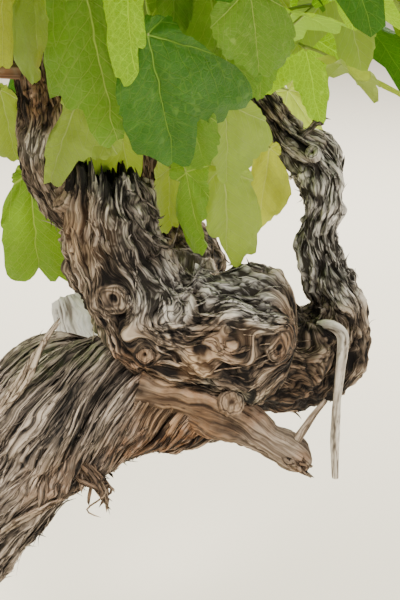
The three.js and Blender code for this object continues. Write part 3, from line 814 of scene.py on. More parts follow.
        ropes = np.abs(drawn(grain.rope, 8))
        ropes = smooth_step(0.0, 0.16, ropes) * 0.6 + 0.4 * np.minimum(ropes * 1.6, 1)
        field = drawn(grain.layer, 1) + 0.4 * drawn(grain.layer, 2, share=0.45)
        layer, layer_light = terraces(field, TERRACES, grain.ledge)
        wide, long, _ = grain.flake
        ragged = 0.16 * spaced(4.5, 18) + 0.2 * spaced(11, 19)
        edge, own = cell_noise(cylinder / (wide, wide, long) + ragged[..., None], seed + 20)
        flake = smooth_step(0.0, 0.4, edge) * (0.5 + 1.3 * own) - 0.6
        flake_light = (0.84 + 0.18 * own) * (1 - grain.ledge * np.exp(-((edge * wide / FLAKE_SHADOW) ** 2)))
        crack = np.exp(-(np.abs(drawn(grain.crack, 10)) / 0.07) ** 2) * smooth_step(-0.2, 0.2, spaced(19, 13))
        fibres = smooth_step(0.0, 0.26, np.abs(drawn(grain.fibre, 3)))
        size, lump_high = grain.lump
        lumps = spaced(size, 5) + 0.5 * spaced(0.4 * size, 6)
        calm = smooth_step(0.7, 1.2, nearest)
        deep = grain.rope[2] * (ropes - 0.6) + grain.layer[2] * 0.5 * layer + grain.flake[2] * 0.5 * flake
        deep = deep - grain.crack[2] * crack
        height = lump_high * lumps + deep * calm + grain.fibre[2] * (fibres - 0.6) * (0.3 + 0.7 * calm)
        # Painted shade: darker in the ropes' clefts, at the layers' feet, round the flakes and in cracks
        value = (0.2 + 0.8 * ropes) * layer_light * flake_light * (1 - 0.85 * crack)
        value = value * (0.76 + 0.24 * fibres) * 1.2 + 0.08 * spaced(16, 17)
        for mark in self.marks:
            away = np.linalg.norm(places - np.array(mark.place), axis=-1)
            across = away / mark.size
            inside = 1 - smooth_step(0.85, 1.15, across)
            rings = np.cos(2 * np.pi * away / YEAR_RING + 3 * spaced(9, 9))
            height = height + mark.rise * np.exp(-((across - 0.95) ** 2) / 0.12) + 0.7 * rings * inside
            # A hole, and an eye's middle, are darkened as painted shade in their hollows
            if mark.kind is Kind.HOLE:
                height = height - HOLE_DEPTH * (1 - smooth_step(0.2, 0.75, across))
                value = value * smooth_step(0.35, 0.95, across)
            elif mark.kind is Kind.EYE:
                height = height - EYE_DEPTH * (1 - smooth_step(0.1, 0.5, across))
                value = value * (1 - inside) + inside * (0.55 + 0.22 * rings) * smooth_step(0.1, 0.45, across)
            else:
                value = value * (1 - inside) + inside * (0.85 + 0.1 * rings)
        return height, np.clip(value, 0, 1)

    def relief_at(self, angle: Array, along: Array, places: Array) -> tuple[Array, Array, Array]:
        """The relief's height and value at angles and distances along, and the grain's coordinates there."""
        cylinder, nearest = self.flow(angle, along, places)
        return (*self.relief(cylinder, places, nearest), cylinder)

    def closed(self, grid: Array, middle: Array, value: Array) -> tuple[Array, Array]:
        """Finishes the last rings, and closes a ragged or broken end with a few more.

        A ragged end runs out in splinters of uneven length, longer on one side by the slant, and turns in to
        a hollow. A broken end is a rough face. Each ring of a closing is drawn in towards the middle line,
        and
        is darkened as painted shade: deeply in a ragged end's hollow, a little on a broken face.

        Args:
            grid: Rings of points.
            middle: The middle line's places.
            value: The light values.

        Returns:
            The rings with their closings, and the values with theirs.
        """
        if self.end not in (End.RAGGED, End.BROKEN):
            return grid, value
        heading = unit(middle[-1] - middle[-4])
        closing, light = BROKEN_CLOSING, 0.9
        if self.end is End.RAGGED:
            closing, light = RAGGED_CLOSING, 0.35
            columns = np.linspace(0, 2 * np.pi, self.columns, endpoint=False)
            circle = np.stack([np.cos(columns), np.sin(columns), np.zeros_like(columns)], axis=-1)
            tall = np.abs(lattice_noise(circle * 3.1, self.seed + 21)) * 1.3
            jag = tall + 0.8 * np.abs(lattice_noise(circle * 11, self.seed + 22))
            reach = np.clip(np.linspace(0, 1, len(grid)) * 12 - 11, 0, 1)[:, None]
            lower = self.slant * (grid[..., 0] - middle[-1, 0])
            grid = grid + ((self.jag * (jag - 0.5) - lower) * reach**1.5)[..., None] * heading
        rings, values = [grid], [value]
        for factor, lift in closing:
            drawn = middle[-1] + (grid[-1] - middle[-1]) * factor + heading * lift
            rough = lattice_noise(drawn / 4, self.seed + 23)[:, None] * 1.4
            rings.append((drawn + heading * rough)[None])
            values.append((value[-1] * light)[None])
        return np.concatenate(rings), np.concatenate(values)

    def body(self, finish: Material) -> Object:
        """Builds the limb's surface.

        Args:
            finish: The bark's material.

        Returns:
            The piece.
        """
        share, run = self.shares()
        angles = np.linspace(0, 2 * np.pi, self.columns, endpoint=False)
        angle = angles - self.turning(run)[:, None]
        share_grid = np.repeat(share[:, None], self.columns, axis=1)
        along = np.repeat(run[:, None], self.columns, axis=1)
        middle, out, radius = self.bare(share_grid, angle)
        places = middle + out * radius[..., None]
        height, value, cylinder = self.relief_at(angle, along, places)
        calm = np.minimum(1, radius / 12)
        grid = middle + out * (radius + height * calm)[..., None]
        grid, value = self.closed(grid, middle[:, 0], value)
        if self.start is End.FOOT:
            grid[..., 2] = np.maximum(grid[..., 2], SOLE_RISE)
            grid, value, cylinder = (np.concatenate([rings[:1], rings]) for rings in (grid, value, cylinder))
            grid[0, :, 2] = 0
        past = np.arange(1, len(grid) - len(cylinder) + 1)[:, None, None] * CLOSING_STEP
        cylinder = np.concatenate([cylinder, cylinder[-1:] + UP * past])
        u, v = np.meshgrid(np.linspace(0, 1, self.columns + 1), np.linspace(0.01, 0.99, len(grid)))
        lattice = np.stack([u, v], axis=-1)
        sheet = Sheet()
        attributes = {"flow": cylinder[None] * MM, "relief": value[None], **paint(grid[None])}
        at = sheet.add(grid[None], True, attributes, lattice[None])[0]
        for row in (0, -1):
            middle = grid[row].mean(axis=0)[None]
            # The end's middle point is darker, as painted shade
            attributes = {"flow": cylinder[row, :1] * MM, "relief": 0.6 * value[row, :1], **paint(middle)}
            sheet.fan(at[row], lattice[row], middle, attributes, row == 0)
        return sheet.piece(self.name, [finish], self.slot, self.covers)

    def loose_bark(self, finish: Material) -> Object | None:
        """Builds strips of bark that lie along the grain and lift at their ends.

        A strip runs from one distance along the limb to another at a steady grain coordinate. It narrows to
        points at both ends as 1 - t^2, and one end may lift as the cube of the way to it.

        Args:
            finish: The bark's material.

        Returns:
            The piece, or nothing where the limb has no strips.
        """
        if not self.strips:
            return None
        random = np.random.default_rng(self.seed + 100)
        share, run = self.shares()
        t = np.linspace(-1, 1, STRIP_STEPS)
        low, high = self.strip_length
        length = low * (high / low) ** random.uniform(0, 1, self.strips)
        middle_run = random.uniform(0.01, 0.99, self.strips) * run[-1]
        along = np.clip(middle_run[:, None] + 0.5 * length[:, None] * t, 0, run[-1] - 2)
        turn = random.uniform(0, 2 * np.pi, self.strips)[:, None] + np.zeros(STRIP_STEPS)
        askew = random.normal(0, 0.12, self.strips)[:, None] * length[:, None] * t / 60
        where = np.interp(along, run, share)
        middle, out, radius = self.bare(where, turn)
        middle_turn = self.turning(middle_run)[:, None]
        wandered = self.wander(middle + out * radius[..., None])
        turn = turn + askew - (self.turning(along) - middle_turn) - wandered
        middle, out, radius = self.bare(where, turn)
        places = middle + out * radius[..., None]
        height, value, cylinder = self.relief_at(turn, along, places)
        full = random.uniform(0.8, 1.2, self.strips)
        full = full * random.choice(STRIP_WIDTHS, self.strips, p=STRIP_SHARES)
        width = full[:, None] * (1 - t**2) ** 0.4 + 0.12
        rough = lattice_noise(places / 11, self.seed + 31)
        lift = random.uniform(-0.6, 1.3, self.strips)[:, None] + 0.7 * rough
        lift = lift + 0.5 * (height + height.mean(axis=1)[:, None])
        side = np.sign(random.uniform(-1, 1, self.strips))[:, None]
        peel = random.choice([0.0, 2.5, 7.0], self.strips, p=[0.5, 0.38, 0.12])[:, None]
        lift = lift + peel * np.clip(t * side, 0, 1) ** 3
        centre = middle + out * (radius + lift)[..., None]
        grids = ribbons(centre, out, width)
        tone = random.uniform(0.2, 0.75, self.strips)[:, None, None]
        # Painted shade and highlight: each strip takes the relief's light value, its side towards the limb is
        # darker and its outer side a little lighter
        tone = tone + (0.2 * rough + 0.5 * (value - 0.4))[..., None] + np.array([0.0, -0.4, 0.0, 0.12])
        round_limb = unit(np.stack([-cylinder[..., 1], cylinder[..., 0], np.zeros_like(along)], axis=-1))
        beside = (np.array([a for a, _ in SECTION]) * width[..., None])[..., None]
        flow = cylinder[:, :, None] + round_limb[:, :, None] * beside
        attributes = {"flow": flow * MM, "relief": np.clip(tone, 0, 1), **paint(grids)}
        sheet = Sheet()
        sheet.add(grids, True, attributes, tile_map(self.strips, STRIP_STEPS, len(SECTION) + 1))
        return sheet.piece(self.name + "_strips", [finish], self.slot)


class Graph:
    """A node tree that is written as calls."""

    def __init__(self, tree: Tree) -> None:
        """Keeps the tree that nodes go into."""
        self.tree = tree

    def node(self, kind: str, inputs: dict | None = None, **settings: object) -> bpy.types.Node:
        """Adds a node.

        Args:
            kind: Blender's name for it, after "ShaderNode".
            inputs: Values or sockets for its inputs, by name or number.
            **settings: Its own properties.

        Returns:
            The node.
        """
        made = self.tree.nodes.new("ShaderNode" + kind)
        for key, value in settings.items():
            setattr(made, key, value)
        self.give(made, inputs or {})
        return made

    def give(self, node: bpy.types.Node, inputs: dict) -> None:
        """Sets a node's inputs to values, and links sockets to them."""
        for key, value in inputs.items():
            if isinstance(value, bpy.types.NodeSocket):
                self.tree.links.new(value, node.inputs[key])
            else:
                node.inputs[key].default_value = value

    def math(self, operation: str, *values: object) -> Socket:
        """The result of one sum on numbers or sockets."""
        return self.node("Math", dict(enumerate(values)), operation=operation).outputs[0]

    def times(self, one: object, two: object) -> Socket:
        """One number times another."""
        return self.math("MULTIPLY", one, two)

    def plus(self, one: object, two: object) -> Socket:
        """One number and another."""
        return self.math("ADD", one, two)

    def moved(self, value: object, factor: float, offset: object) -> Socket:
        """A number times a factor, and an offset."""
        return self.math("MULTIPLY_ADD", value, factor, offset)

    def vector(self, operation: str, inputs: dict) -> Socket:
        """The result of one sum on vectors."""
        return self.node("VectorMath", inputs, operation=operation).outputs[0]

    def mix(self, share: object, one: object, two: object) -> Socket:
        """Two colours blended by a share."""
        return self.node("Mix", {0: share, 6: one, 7: two}, data_type="RGBA").outputs[2]

    def span(self, value: object, low: float, high: float, to_low: float = 0, to_high: float = 1) -> Socket:
        """A value moved from one range to another and held inside it."""
        inputs = {0: value, 1: low, 2: high, 3: to_low, 4: to_high}
        return self.node("MapRange", inputs, clamp=True).outputs[0]

    def attribute(self, name: str, output: str = "Fac") -> Socket:
        """A number or vector kept on the mesh."""
        return self.node("Attribute", attribute_name=name).outputs[output]

    def noise(self, vector: object, scale: object, detail: float, output: str = "Fac") -> Socket:
        """Blender's noise at a vector."""
        return self.node("TexNoise", {"Vector": vector, "Scale": scale, "Detail": detail}).outputs[output]

    def edge(self, vector: object, scale: float) -> Socket:
        """How far a vector lies from the edge of its cell."""
        inputs = {"Vector": vector, "Scale": scale}
        return self.node("TexVoronoi", inputs, feature="DISTANCE_TO_EDGE").outputs["Distance"]


FLOAT = "NodeSocketFloat"
VECTOR = "NodeSocketVector"


def new_group(name: str, inputs: dict[str, str], outputs: Names) -> tuple[Graph, dict, bpy.types.Node]:
    """A shader node group with named sockets.

    Args:
        name: The group's name.
        inputs: Socket kinds by name.
        outputs: Names of the numbers that it puts out.

    Returns:
        Its graph, the sockets that bring the inputs in, by name, and the node that takes the outputs.
    """
    tree = bpy.data.node_groups.new(name, "ShaderNodeTree")
    for key, kind in inputs.items():
        tree.interface.new_socket(name=key, in_out="INPUT", socket_type=kind)
    for key in outputs:
        tree.interface.new_socket(name=key, in_out="OUTPUT", socket_type=FLOAT)
    source = tree.nodes.new("NodeGroupInput")
    return Graph(tree), {key: source.outputs[key] for key in inputs}, tree.nodes.new("NodeGroupOutput")


# How much a fibre is drawn out along the grain, and a flake's way across it beside a fibre's
FIBRE_STRETCH = 0.035
FLAKE_ACROSS = 0.24


def fibre_group() -> Tree:
    """Fine fibres and flakes along the grain: noise and cells drawn out along it, as light values and height.

    A crack lies where a place is nearly as far from a second seed as from the nearest one.
    """
    inputs = {"Flow": VECTOR, "Fineness": FLOAT, "Shortness": FLOAT}
    graph, source, result = new_group("fibre_grain", inputs, ("Value", "Crack", "Height"))
    drawn = graph.vector("MULTIPLY", {0: source["Flow"], 1: (1, 1, FIBRE_STRETCH)})
    scaled = graph.vector("SCALE", {0: drawn, "Scale": source["Fineness"]})
    threads = graph.noise(scaled, 0.8, 2)
    broad = graph.noise(scaled, 0.3, 3)
    short = graph.node("CombineXYZ", {0: FLAKE_ACROSS, 1: FLAKE_ACROSS, 2: source["Shortness"]}).outputs[0]
    cell = graph.vector("MULTIPLY", {0: scaled, 1: short})
    cell = graph.vector(
        "MULTIPLY_ADD", {0: graph.noise(cell, 1.7, 2, "Color"), 1: (0.9, 0.9, 0.9), 2: cell}
    )
    edge = graph.edge(cell, 1.0)
    own = graph.node("TexVoronoi", {"Vector": cell, "Scale": 1.0}).outputs["Color"]
    value = graph.span(graph.plus(graph.times(threads, 0.6), graph.times(broad, 0.4)), 0.36, 0.64)
    value = graph.plus(graph.times(value, 0.6), graph.times(own, 0.4))
    rounded = graph.times(graph.span(edge, 0.0, 0.3), graph.moved(own, 0.7, 0.6))
    height = graph.moved(value, 0.5, rounded)
    graph.give(result, {"Value": value, "Crack": graph.span(edge, 0.02, 0.12), "Height": height})
    return graph.tree


def patina_group() -> Tree:
    """Uneven weathering: broad and small blotches over Object coordinates."""
    graph, source, result = new_group("patina", {"Scale": FLOAT}, ("Broad", "Small"))
    place = graph.node("TexCoord").outputs["Object"]
    broad, small = graph.noise(place, source["Scale"], 3), graph.noise(place, 160, 4)
    graph.give(result, {"Broad": graph.span(broad, 0.35, 0.65), "Small": graph.span(small, 0.35, 0.65)})
    return graph.tree


# Between which angles from the middle rib a place belongs to the next rib, in radians, and that rib's angle
SECOND_FROM, SECOND_RIB = 0.454, 0.908
THIRD_FROM, THIRD_FURTHER = 1.43, 1.047
# How steeply side veins lean, and how far apart they leave a rib, in blade lengths
VEIN_LEAN = 1.1
VEIN_GAP = 0.1


def vein_group() -> Tree:
    """A leaf's veins from its own coordinates, across and along in blade lengths.

    The angle from the middle rib is folded onto the nearest of the ribs at 0, 52 and 112 degrees. Side veins
    leave a rib like a herringbone, where along - 1.1 across meets a whole period. A net lies between them.
    """
    graph, source, result = new_group("leaf_veins", {"Blade": VECTOR}, ("Rib", "Net", "Height"))
    blade = source["Blade"]
    parts = graph.node("SeparateXYZ", {0: blade}).outputs
    across, along = graph.plus(parts[0], graph.moved(graph.noise(blade, 5, 1), 0.05, -0.025)), parts[1]
    angle = graph.math("ABSOLUTE", graph.math("ARCTAN2", across, along))
    reach = graph.math("SQRT", graph.plus(graph.times(across, across), graph.times(along, along)))
    second = graph.times(graph.math("GREATER_THAN", angle, SECOND_FROM), -SECOND_RIB)
    third = graph.times(graph.math("GREATER_THAN", angle, THIRD_FROM), -THIRD_FURTHER)
    off = graph.plus(graph.plus(angle, second), third)
    beside = graph.math("ABSOLUTE", graph.times(reach, graph.math("SINE", off)))
    out = graph.times(reach, graph.math("COSINE", off))
    rib = graph.span(graph.math("DIVIDE", beside, graph.span(reach, 0, 1, 0.0085, 0.0025)), 0.5, 1.3, 1, 0)
    shifted = graph.math("SUBTRACT", out, graph.times(beside, VEIN_LEAN))
    period = graph.math("FRACT", graph.math("DIVIDE", shifted, VEIN_GAP))
    period = graph.math("ABSOLUTE", graph.math("SUBTRACT", period, 0.5))
    side = graph.times(graph.span(period, 0.45, 0.49), graph.span(beside, 0.0, 0.35, 0.65, 0.2))
    coarse = graph.span(graph.edge(blade, 17.0), 0.0, 0.09, 0.75, 0)
    net = graph.math("MAXIMUM", coarse, graph.span(graph.edge(blade, 42.0), 0.0, 0.12, 0.4, 0))
    ribs = graph.math("MAXIMUM", rib, side)
    height = graph.math("MAXIMUM", ribs, graph.times(net, 0.36))
    graph.give(result, {"Rib": ribs, "Net": net, "Height": height})
    return graph.tree


@dataclass(frozen=True)
class Finish:
    """A material: its name, and the shader that each kind of finish works out."""

    name: str

    def shader(self, graph: Graph, groups: Groups) -> Socket:
        """The shader of the finish.

        Args:
            graph: The material's graph.
            groups: The shared node groups by name.

        Returns:
            The shader's socket.
        """
        raise NotImplementedError

    def material(self, groups: Groups) -> Material:
        """The finish as a material, from the shared node groups by name."""
        material = bpy.data.materials.new(self.name)
        material.use_nodes = True
        material.node_tree.nodes.clear()
        graph = Graph(material.node_tree)
        output = graph.node("OutputMaterial")
        graph.give(output, {"Surface": self.shader(graph, groups)})
        return material


@dataclass(frozen=True)
class Stain:
    """A tint of wood: its dark and light colour, and the levels of relief between which it changes.

    A blotchy one also has the range of the blotches' values, and the range of shares that they leave of it.
    """

    dark: Triple
    light: Triple
    levels: Pair
    blotch: tuple[float, ...] = ()


STAINS = {
    Tint.WARM: Stain((22, 13, 7), (156, 112, 76), (0.1, 0.95), (0, 0.6, 0.5, 1)),
    Tint.PALE: Stain((80, 58, 38), (196, 166, 132), (0.1, 0.8)),
    # Dark burnt wood, which also serves as painted shadow under the fist
    Tint.CHAR: Stain((30, 29, 25), (172, 168, 146), (0.15, 0.95)),
    Tint.MOSS: Stain((70, 76, 46), (150, 156, 112), (0.2, 0.9), (0.2, 0.8, 0.2, 0.8)),
    # Grey weathering whose near-white light colour is partly a painted highlight
    Tint.SILVER: Stain((52, 47, 41), (238, 232, 222), (0.1, 0.8)),
    Tint.BLEACHED: Stain((118, 108, 94), (246, 238, 226), (0.15, 0.9)),
}


@dataclass(frozen=True)
class WoodFinish(Finish):
    """Bark or bare wood.

    It has cleft, body and crest colours: the dark cleft colour is painted shade in the clefts, and the
    crest colour is partly a painted highlight on the ridges. Fineness is how fine its fibres are, bump how
    high they stand, streaks how strongly they show, shortness how short flakes are, and depth the light
    left in cracks, as painted shade.
    """

    cleft: Triple
    body: Triple
    crest: Triple
    fineness: float = 1000
    bump: float = 0.8
    roughness: float = 0.88
    streaks: float = 0.4
    shortness: float = 1.7
    depth: float = 0.35
    patina_scale: float = 24
    fibre_height: float = 0.0013

    def shader(self, graph: Graph, groups: Groups) -> Socket:
        """Mixes the colours by the relief, fine fibres and weathering, then leans them to the painted tints.

        Args:
            graph: The material's graph.
            groups: The shared node groups by name.

        Returns:
            The shader's socket.
        """
        grain = {
            "Flow": graph.attribute("flow", "Vector"), "Fineness": self.fineness,
            "Shortness": self.shortness,
        }
        fibre = graph.node("Group", grain, node_tree=groups["fibre_grain"]).outputs
        patina = graph.node("Group", {"Scale": self.patina_scale}, node_tree=groups["patina"]).outputs
        level = graph.moved(fibre["Value"], self.streaks, -0.5 * self.streaks)
        # The relief attribute brings the painted shade and highlight worked out from the bark's relief, and
        # the strips' tone
        level = graph.plus(graph.attribute("relief"), level)
        level = graph.plus(level, graph.moved(patina["Broad"], 0.22, -0.12))
        level = graph.times(level, graph.span(fibre["Crack"], 0, 1, self.depth, 1))
        colour = graph.mix(graph.span(level, 0.05, 0.42), linear(*self.cleft), linear(*self.body))
        colour = graph.mix(graph.span(level, 0.42, 0.95), colour, linear(*self.crest))
        for tint, stain in STAINS.items():
            share = graph.attribute(tint.value)
            if stain.blotch:
                share = graph.times(share, graph.span(patina["Small"], *stain.blotch))
            own = graph.mix(graph.span(level, *stain.levels), linear(*stain.dark), linear(*stain.light))
            colour = graph.mix(share, colour, own)
        raised = {"Strength": self.bump, "Distance": self.fibre_height, "Height": fibre["Height"]}
        shade = {"Base Color": colour, "Roughness": self.roughness, "Specular IOR Level": 0.25}
        shade["Normal"] = graph.node("Bump", raised).outputs[0]
        return graph.node("BsdfPrincipled", shade).outputs[0]


# A leaf where the sun falls on it, where it has browned, and the sun's light through it
SUN_ON_LEAF = (156, 200, 34)
BROWNED_LEAF = (160, 118, 66)
SUN_THROUGH_LEAF = (156, 208, 12)


@dataclass(frozen=True)
class LeafFinish(Finish):
    """One green of leaf: its upper face, its under face, its veins, and the light that comes through.

    Glow is how much light comes through, net how strongly the net of veins shows, and sunny how much of the
    leaf the sun shines through, apart from the marked places.
    """

    upper: Triple
    under: Triple
    vein: Triple
    through: Triple
    glow: float = 0.35
    net: float = 0.3
    roughness: float = 0.4
    sunny: float = 0.0
    vein_depth: float = 0.0018

    def shader(self, graph: Graph, groups: Groups) -> Socket:
        """Draws the veins over the green, greys the under face, and lets some light through.

        Args:
            graph: The material's graph.
            groups: The shared node groups by name.

        Returns:
            The shader's socket.
        """
        blade = graph.attribute("blade", "Vector")
        veins = graph.node("Group", {"Blade": blade}, node_tree=groups["leaf_veins"]).outputs
        net, rib, height, vein = veins["Net"], veins["Rib"], veins["Height"], linear(*self.vein)
        sunlit = graph.attribute("sunlit")
        blotch = graph.times(graph.span(graph.noise(blade, 5, 3), 0.3, 0.7), 0.55)
        top = graph.mix(blotch, linear(*self.upper), linear(*(c * 0.76 for c in self.upper)))
        top = graph.mix(graph.times(net, self.net), top, vein)
        top = graph.mix(graph.times(rib, 0.75), top, vein)
        top = graph.mix(graph.times(sunlit, graph.span(rib, 0, 1, 0.75, 1)), top, linear(*SUN_ON_LEAF))
        top = graph.mix(graph.times(graph.attribute("browned"), 0.7), top, linear(*BROWNED_LEAF))
        below = graph.mix(graph.times(rib, 0.7), linear(*self.under), vein)
        colour = graph.mix(graph.node("NewGeometry").outputs["Backfacing"], top, below)
        light = graph.mix(
            graph.times(net, 0.45), linear(*self.through), linear(*(c * 0.62 for c in self.through))
        )
        light = graph.mix(graph.times(rib, 0.6), light, vein)
        sunk = {"Strength": 0.8, "Distance": self.vein_depth, "Height": height}
        # Painted glow: emission in place of sun coming through, at the sunlit places and over sunny leaves
        shining = graph.times(
            graph.math("MAXIMUM", sunlit, self.sunny), graph.span(height, 0, 0.45, 0.2, 1)
        )
        shade = {"Base Color": colour, "Roughness": self.roughness, "Specular IOR Level": 0.22}
        shade["Normal"] = graph.node("Bump", sunk, invert=True).outputs[0]
        shade["Emission Color"] = graph.mix(shining, (0.0, 0.0, 0.0, 1.0), linear(*SUN_THROUGH_LEAF))
        shade["Emission Strength"] = 1.0
        skin = graph.node("BsdfPrincipled", shade).outputs[0]
        glow = graph.node("BsdfTranslucent", {"Color": light}).outputs[0]
        return graph.node("MixShader", {0: self.glow, 1: skin, 2: glow}).outputs[0]


@dataclass(frozen=True)
class StemFinish(Finish):
    """Green or brown skin of shoots and leaf stalks."""

    body: Triple
    light: Triple
    roughness: float = 0.5
    patina_scale: float = 60

    def shader(self, graph: Graph, groups: Groups) -> Socket:
        """Mixes the two colours by small blotches.

        Args:
            graph: The material's graph.
            groups: The shared node groups by name.

        Returns:
            The shader's socket.
        """
        patina = graph.node("Group", {"Scale": self.patina_scale}, node_tree=groups["patina"]).outputs
        colour = graph.mix(patina["Broad"], linear(*self.body), linear(*self.light))
        return graph.node("BsdfPrincipled", {"Base Color": colour, "Roughness": self.roughness}).outputs[0]


class Tone(Enum):
    """The greens that leaves are dealt."""

    DEEP = LeafFinish("leaf_deep", (54, 104, 22), (90, 126, 46), (128, 168, 56), (92, 154, 18), 0.28, 0.34)
    MID = LeafFinish("leaf_mid", (98, 144, 42), (132, 164, 68), (204, 224, 112), (158, 202, 32), 0.42, 0.42)
    # Leaves with the sun behind them: lighter greens, and a painted glow of emission over most of the leaf
    BRIGHT = LeafFinish(
        "leaf_backlit", (124, 178, 22), (168, 204, 66), (214, 240, 66), (190, 236, 24), 0.5, 0.95, sunny=0.8
    )
    LIGHT = LeafFinish("leaf_light", (156, 182, 72), (180, 198, 108), (210, 222, 140), (200, 222, 70), 0.46)
    YELLOW = LeafFinish(
        "leaf_yellow", (188, 200, 70), (198, 206, 104), (224, 230, 130), (224, 230, 70), 0.55
    )
    DULL = LeafFinish("leaf_dull", (134, 160, 54), (156, 178, 84), (196, 210, 116), (178, 206, 48), 0.45)


TONES = list(Tone)
# The share of leaves that take each
TONE_SHARES = (0.24, 0.34, 0.2, 0.13, 0.06, 0.03)


class Draws:
    """The source's seeded sequence of numbers from 0 to 1."""

    def __init__(self, seed: int) -> None:
        """Starts the sequence."""
        self.state = seed

    def next(self) -> float:
        """The next number."""
        self.state = (self.state * 1664525 + 1013904223) % 4294967296
        return self.state / 4294967296


def between(low: float, high: float, share: float) -> float:
    """The value at a share of the way from low to high."""
    return low + (high - low) * share


def turned(vector: Array, axis: Array, degrees: float) -> Array:
    """A vector turned round an axis of length 1."""
    angle = np.radians(degrees)
    along = axis * (axis @ vector) * (1 - np.cos(angle))
    return vector * np.cos(angle) + np.cross(axis, vector) * np.sin(angle) + along


# The source's blade: places round its rim, across and along in blade lengths
OUTLINE = ((0, 1), (0.58, 0.46), (0.46, -0.24), (0, -0.06), (-0.46, -0.24), (-0.58, 0.46))


@dataclass
class Leaf:
    """A leaf: where its stalk starts and ends, the blade's length, its way to the tip and its upper face."""

    root: Array
    base: Array
    length: float
    along: Array
    normal: Array
    hanging: int = -1

    def __post_init__(self) -> None:
        """Squares up the leaf's axes."""
        self.along = unit(self.along)
        self.normal = unit(self.normal - self.along * (self.normal @ self.along))
        self.across = np.cross(self.along, self.normal)
        self.rim = self.points(np.array(OUTLINE, float))
        self.middle = self.points(np.array([[0, BLADE_MIDDLE]], float))[0]
        centre = self.points(np.array([[0, BLADE_CENTRE]], float))[0]
        after = np.roll(self.rim, -1, axis=0)
        tip = self.rim[0]
        self.faces = np.stack([np.broadcast_to(centre, self.rim.shape), self.rim, after], axis=1)
        self.starts = np.vstack([self.rim, self.root, self.base])
        self.stops = np.vstack([after, self.base, tip])

    def points(self, flat: Array) -> Array:
        """Places on the cupped blade from across and along, in blade lengths."""
        across, along = flat[..., 0:1], flat[..., 1:2]
        fall = CUP_ACROSS * across**2 + CUP_ALONG * along * np.abs(along)
        return self.base + self.length * (self.across * across + self.along * along - self.normal * fall)


def crossing(starts: Array, stops: Array, faces: Array) -> bool:
    """Whether any stretch goes through any face.

    Each stretch is met with each triangle by solving for its distance and the triangle's two shares.

    Args:
        starts: Where the stretches start, (n, 3).
        stops: Where they stop, (n, 3).
        faces: The triangles, (m, 3, 3).

    Returns:
        True where one does.
    """
    one = (faces[:, 1] - faces[:, 0])[None]
    two = (faces[:, 2] - faces[:, 0])[None]
    run = (stops - starts)[:, None]
    side = np.cross(run, two)
    size = np.sum(one * side, axis=-1)
    safe = np.where(np.abs(size) < 1e-12, 1e-12, size)
    from_corner = starts[:, None] - faces[None, :, 0]
    u = np.sum(from_corner * side, axis=-1) / safe
    lever = np.cross(from_corner, one)
    v = np.sum(run * lever, axis=-1) / safe
    t = np.sum(two * lever, axis=-1) / safe
    return bool(np.any((u >= 0) & (v >= 0) & (u + v <= 1) & (t >= 0) & (t < 1)))


# Lobes are (degrees from the middle rib, reach in blade lengths, width in degrees)
FIVE_LOBED = ((0, 1.0, 27), (52, 0.86, 26), (112, 0.62, 28))
SHALLOW = ((0, 1.0, 34), (48, 0.88, 34), (108, 0.64, 34))
THREE_FINGERED = ((0, 1.0, 17), (30, 0.98, 17), (66, 0.78, 36), (112, 0.5, 34))


@dataclass(frozen=True)
class View:
    """The view of the photograph: where it looks, from how far, how steeply, and the mm to a pixel there."""

    target: Triple = (290, 0, 470)
    distance: float = 1150
    pitch: float = 20
    scale: float = 0.8
    middle: Pair = (200, 300)

    def rays(self, seen: Array) -> tuple[Array, Array]:
        """The camera's place, and a ray through each place (right, down) in pixels of the picture."""
        pitch = np.radians(self.pitch)
        ahead = np.array([0, np.cos(pitch), -np.sin(pitch)])
        lift = np.array([0, np.sin(pitch), np.cos(pitch)])
        off = (seen - np.array(self.middle)) * self.scale / self.distance
        rays = ahead + off[..., 0:1] * np.array([1.0, 0, 0]) - off[..., 1:2] * lift
        return np.array(self.target) - ahead * self.distance, rays

    def at_depth(self, seen: Pair, depth: float) -> Array:
        """The point with y = depth that shows at a place of the picture."""
        eye, ray = self.rays(np.array(seen, float))
        return eye + ray * (depth - eye[1]) / ray[1]

    def on_plane(self, seen: Array, place: Array, normal: Array) -> Array:
        """The points of a plane that show at places of the picture."""
        eye, rays = self.rays(seen)
        return eye + rays * (np.sum((place - eye) * normal, axis=-1) / (rays @ normal))[..., None]


VIEW = View()


@dataclass(frozen=True)
class Seen:
    """A leaf as it shows in the picture, in pixels: its stalk's end, its tip, and places round its rim."""

    stalk: Pair
    tip: Pair
    rim: tuple[Pair, ...]


# Leaves as they show in the picture
BIG = Seen(
    (78, -45), (113, 150),
    (
        (58, -58), (50, -20), (47, 12), (43, 42), (43, 72), (47, 94), (54, 98), (61, 92), (66, 104),
        (76, 105), (85, 107), (88, 119), (99, 132), (106, 145), (113, 150), (121, 143), (127, 131),
        (126, 117), (122, 100), (119, 80), (113, 45), (103, 5), (98, -32), (90, -60),
    ),
)
BROWNED = Seen(
    (35, -40), (26, 83),
    (
        (22, -48), (18, -20), (15, 10), (12, 36), (12, 60), (18, 76), (26, 83), (33, 79), (42, 70),
        (46, 46), (48, 20), (50, -10), (46, -46),
    ),
)
YELLOW_EDGE = Seen(
    (2, -14), (4, 70),
    ((-14, -10), (-16, 30), (-10, 62), (4, 70), (11, 68), (14, 52), (13, 36), (15, 12), (14, -16)),
)
FAR_EDGE = Seen(
    (0, 90), (16, 164),
    (
        (-12, 100), (-6, 88), (8, 90), (18, 97), (24, 110), (23, 130), (24, 150), (20, 164), (8, 158),
        (-4, 152), (-14, 130),
    ),
)
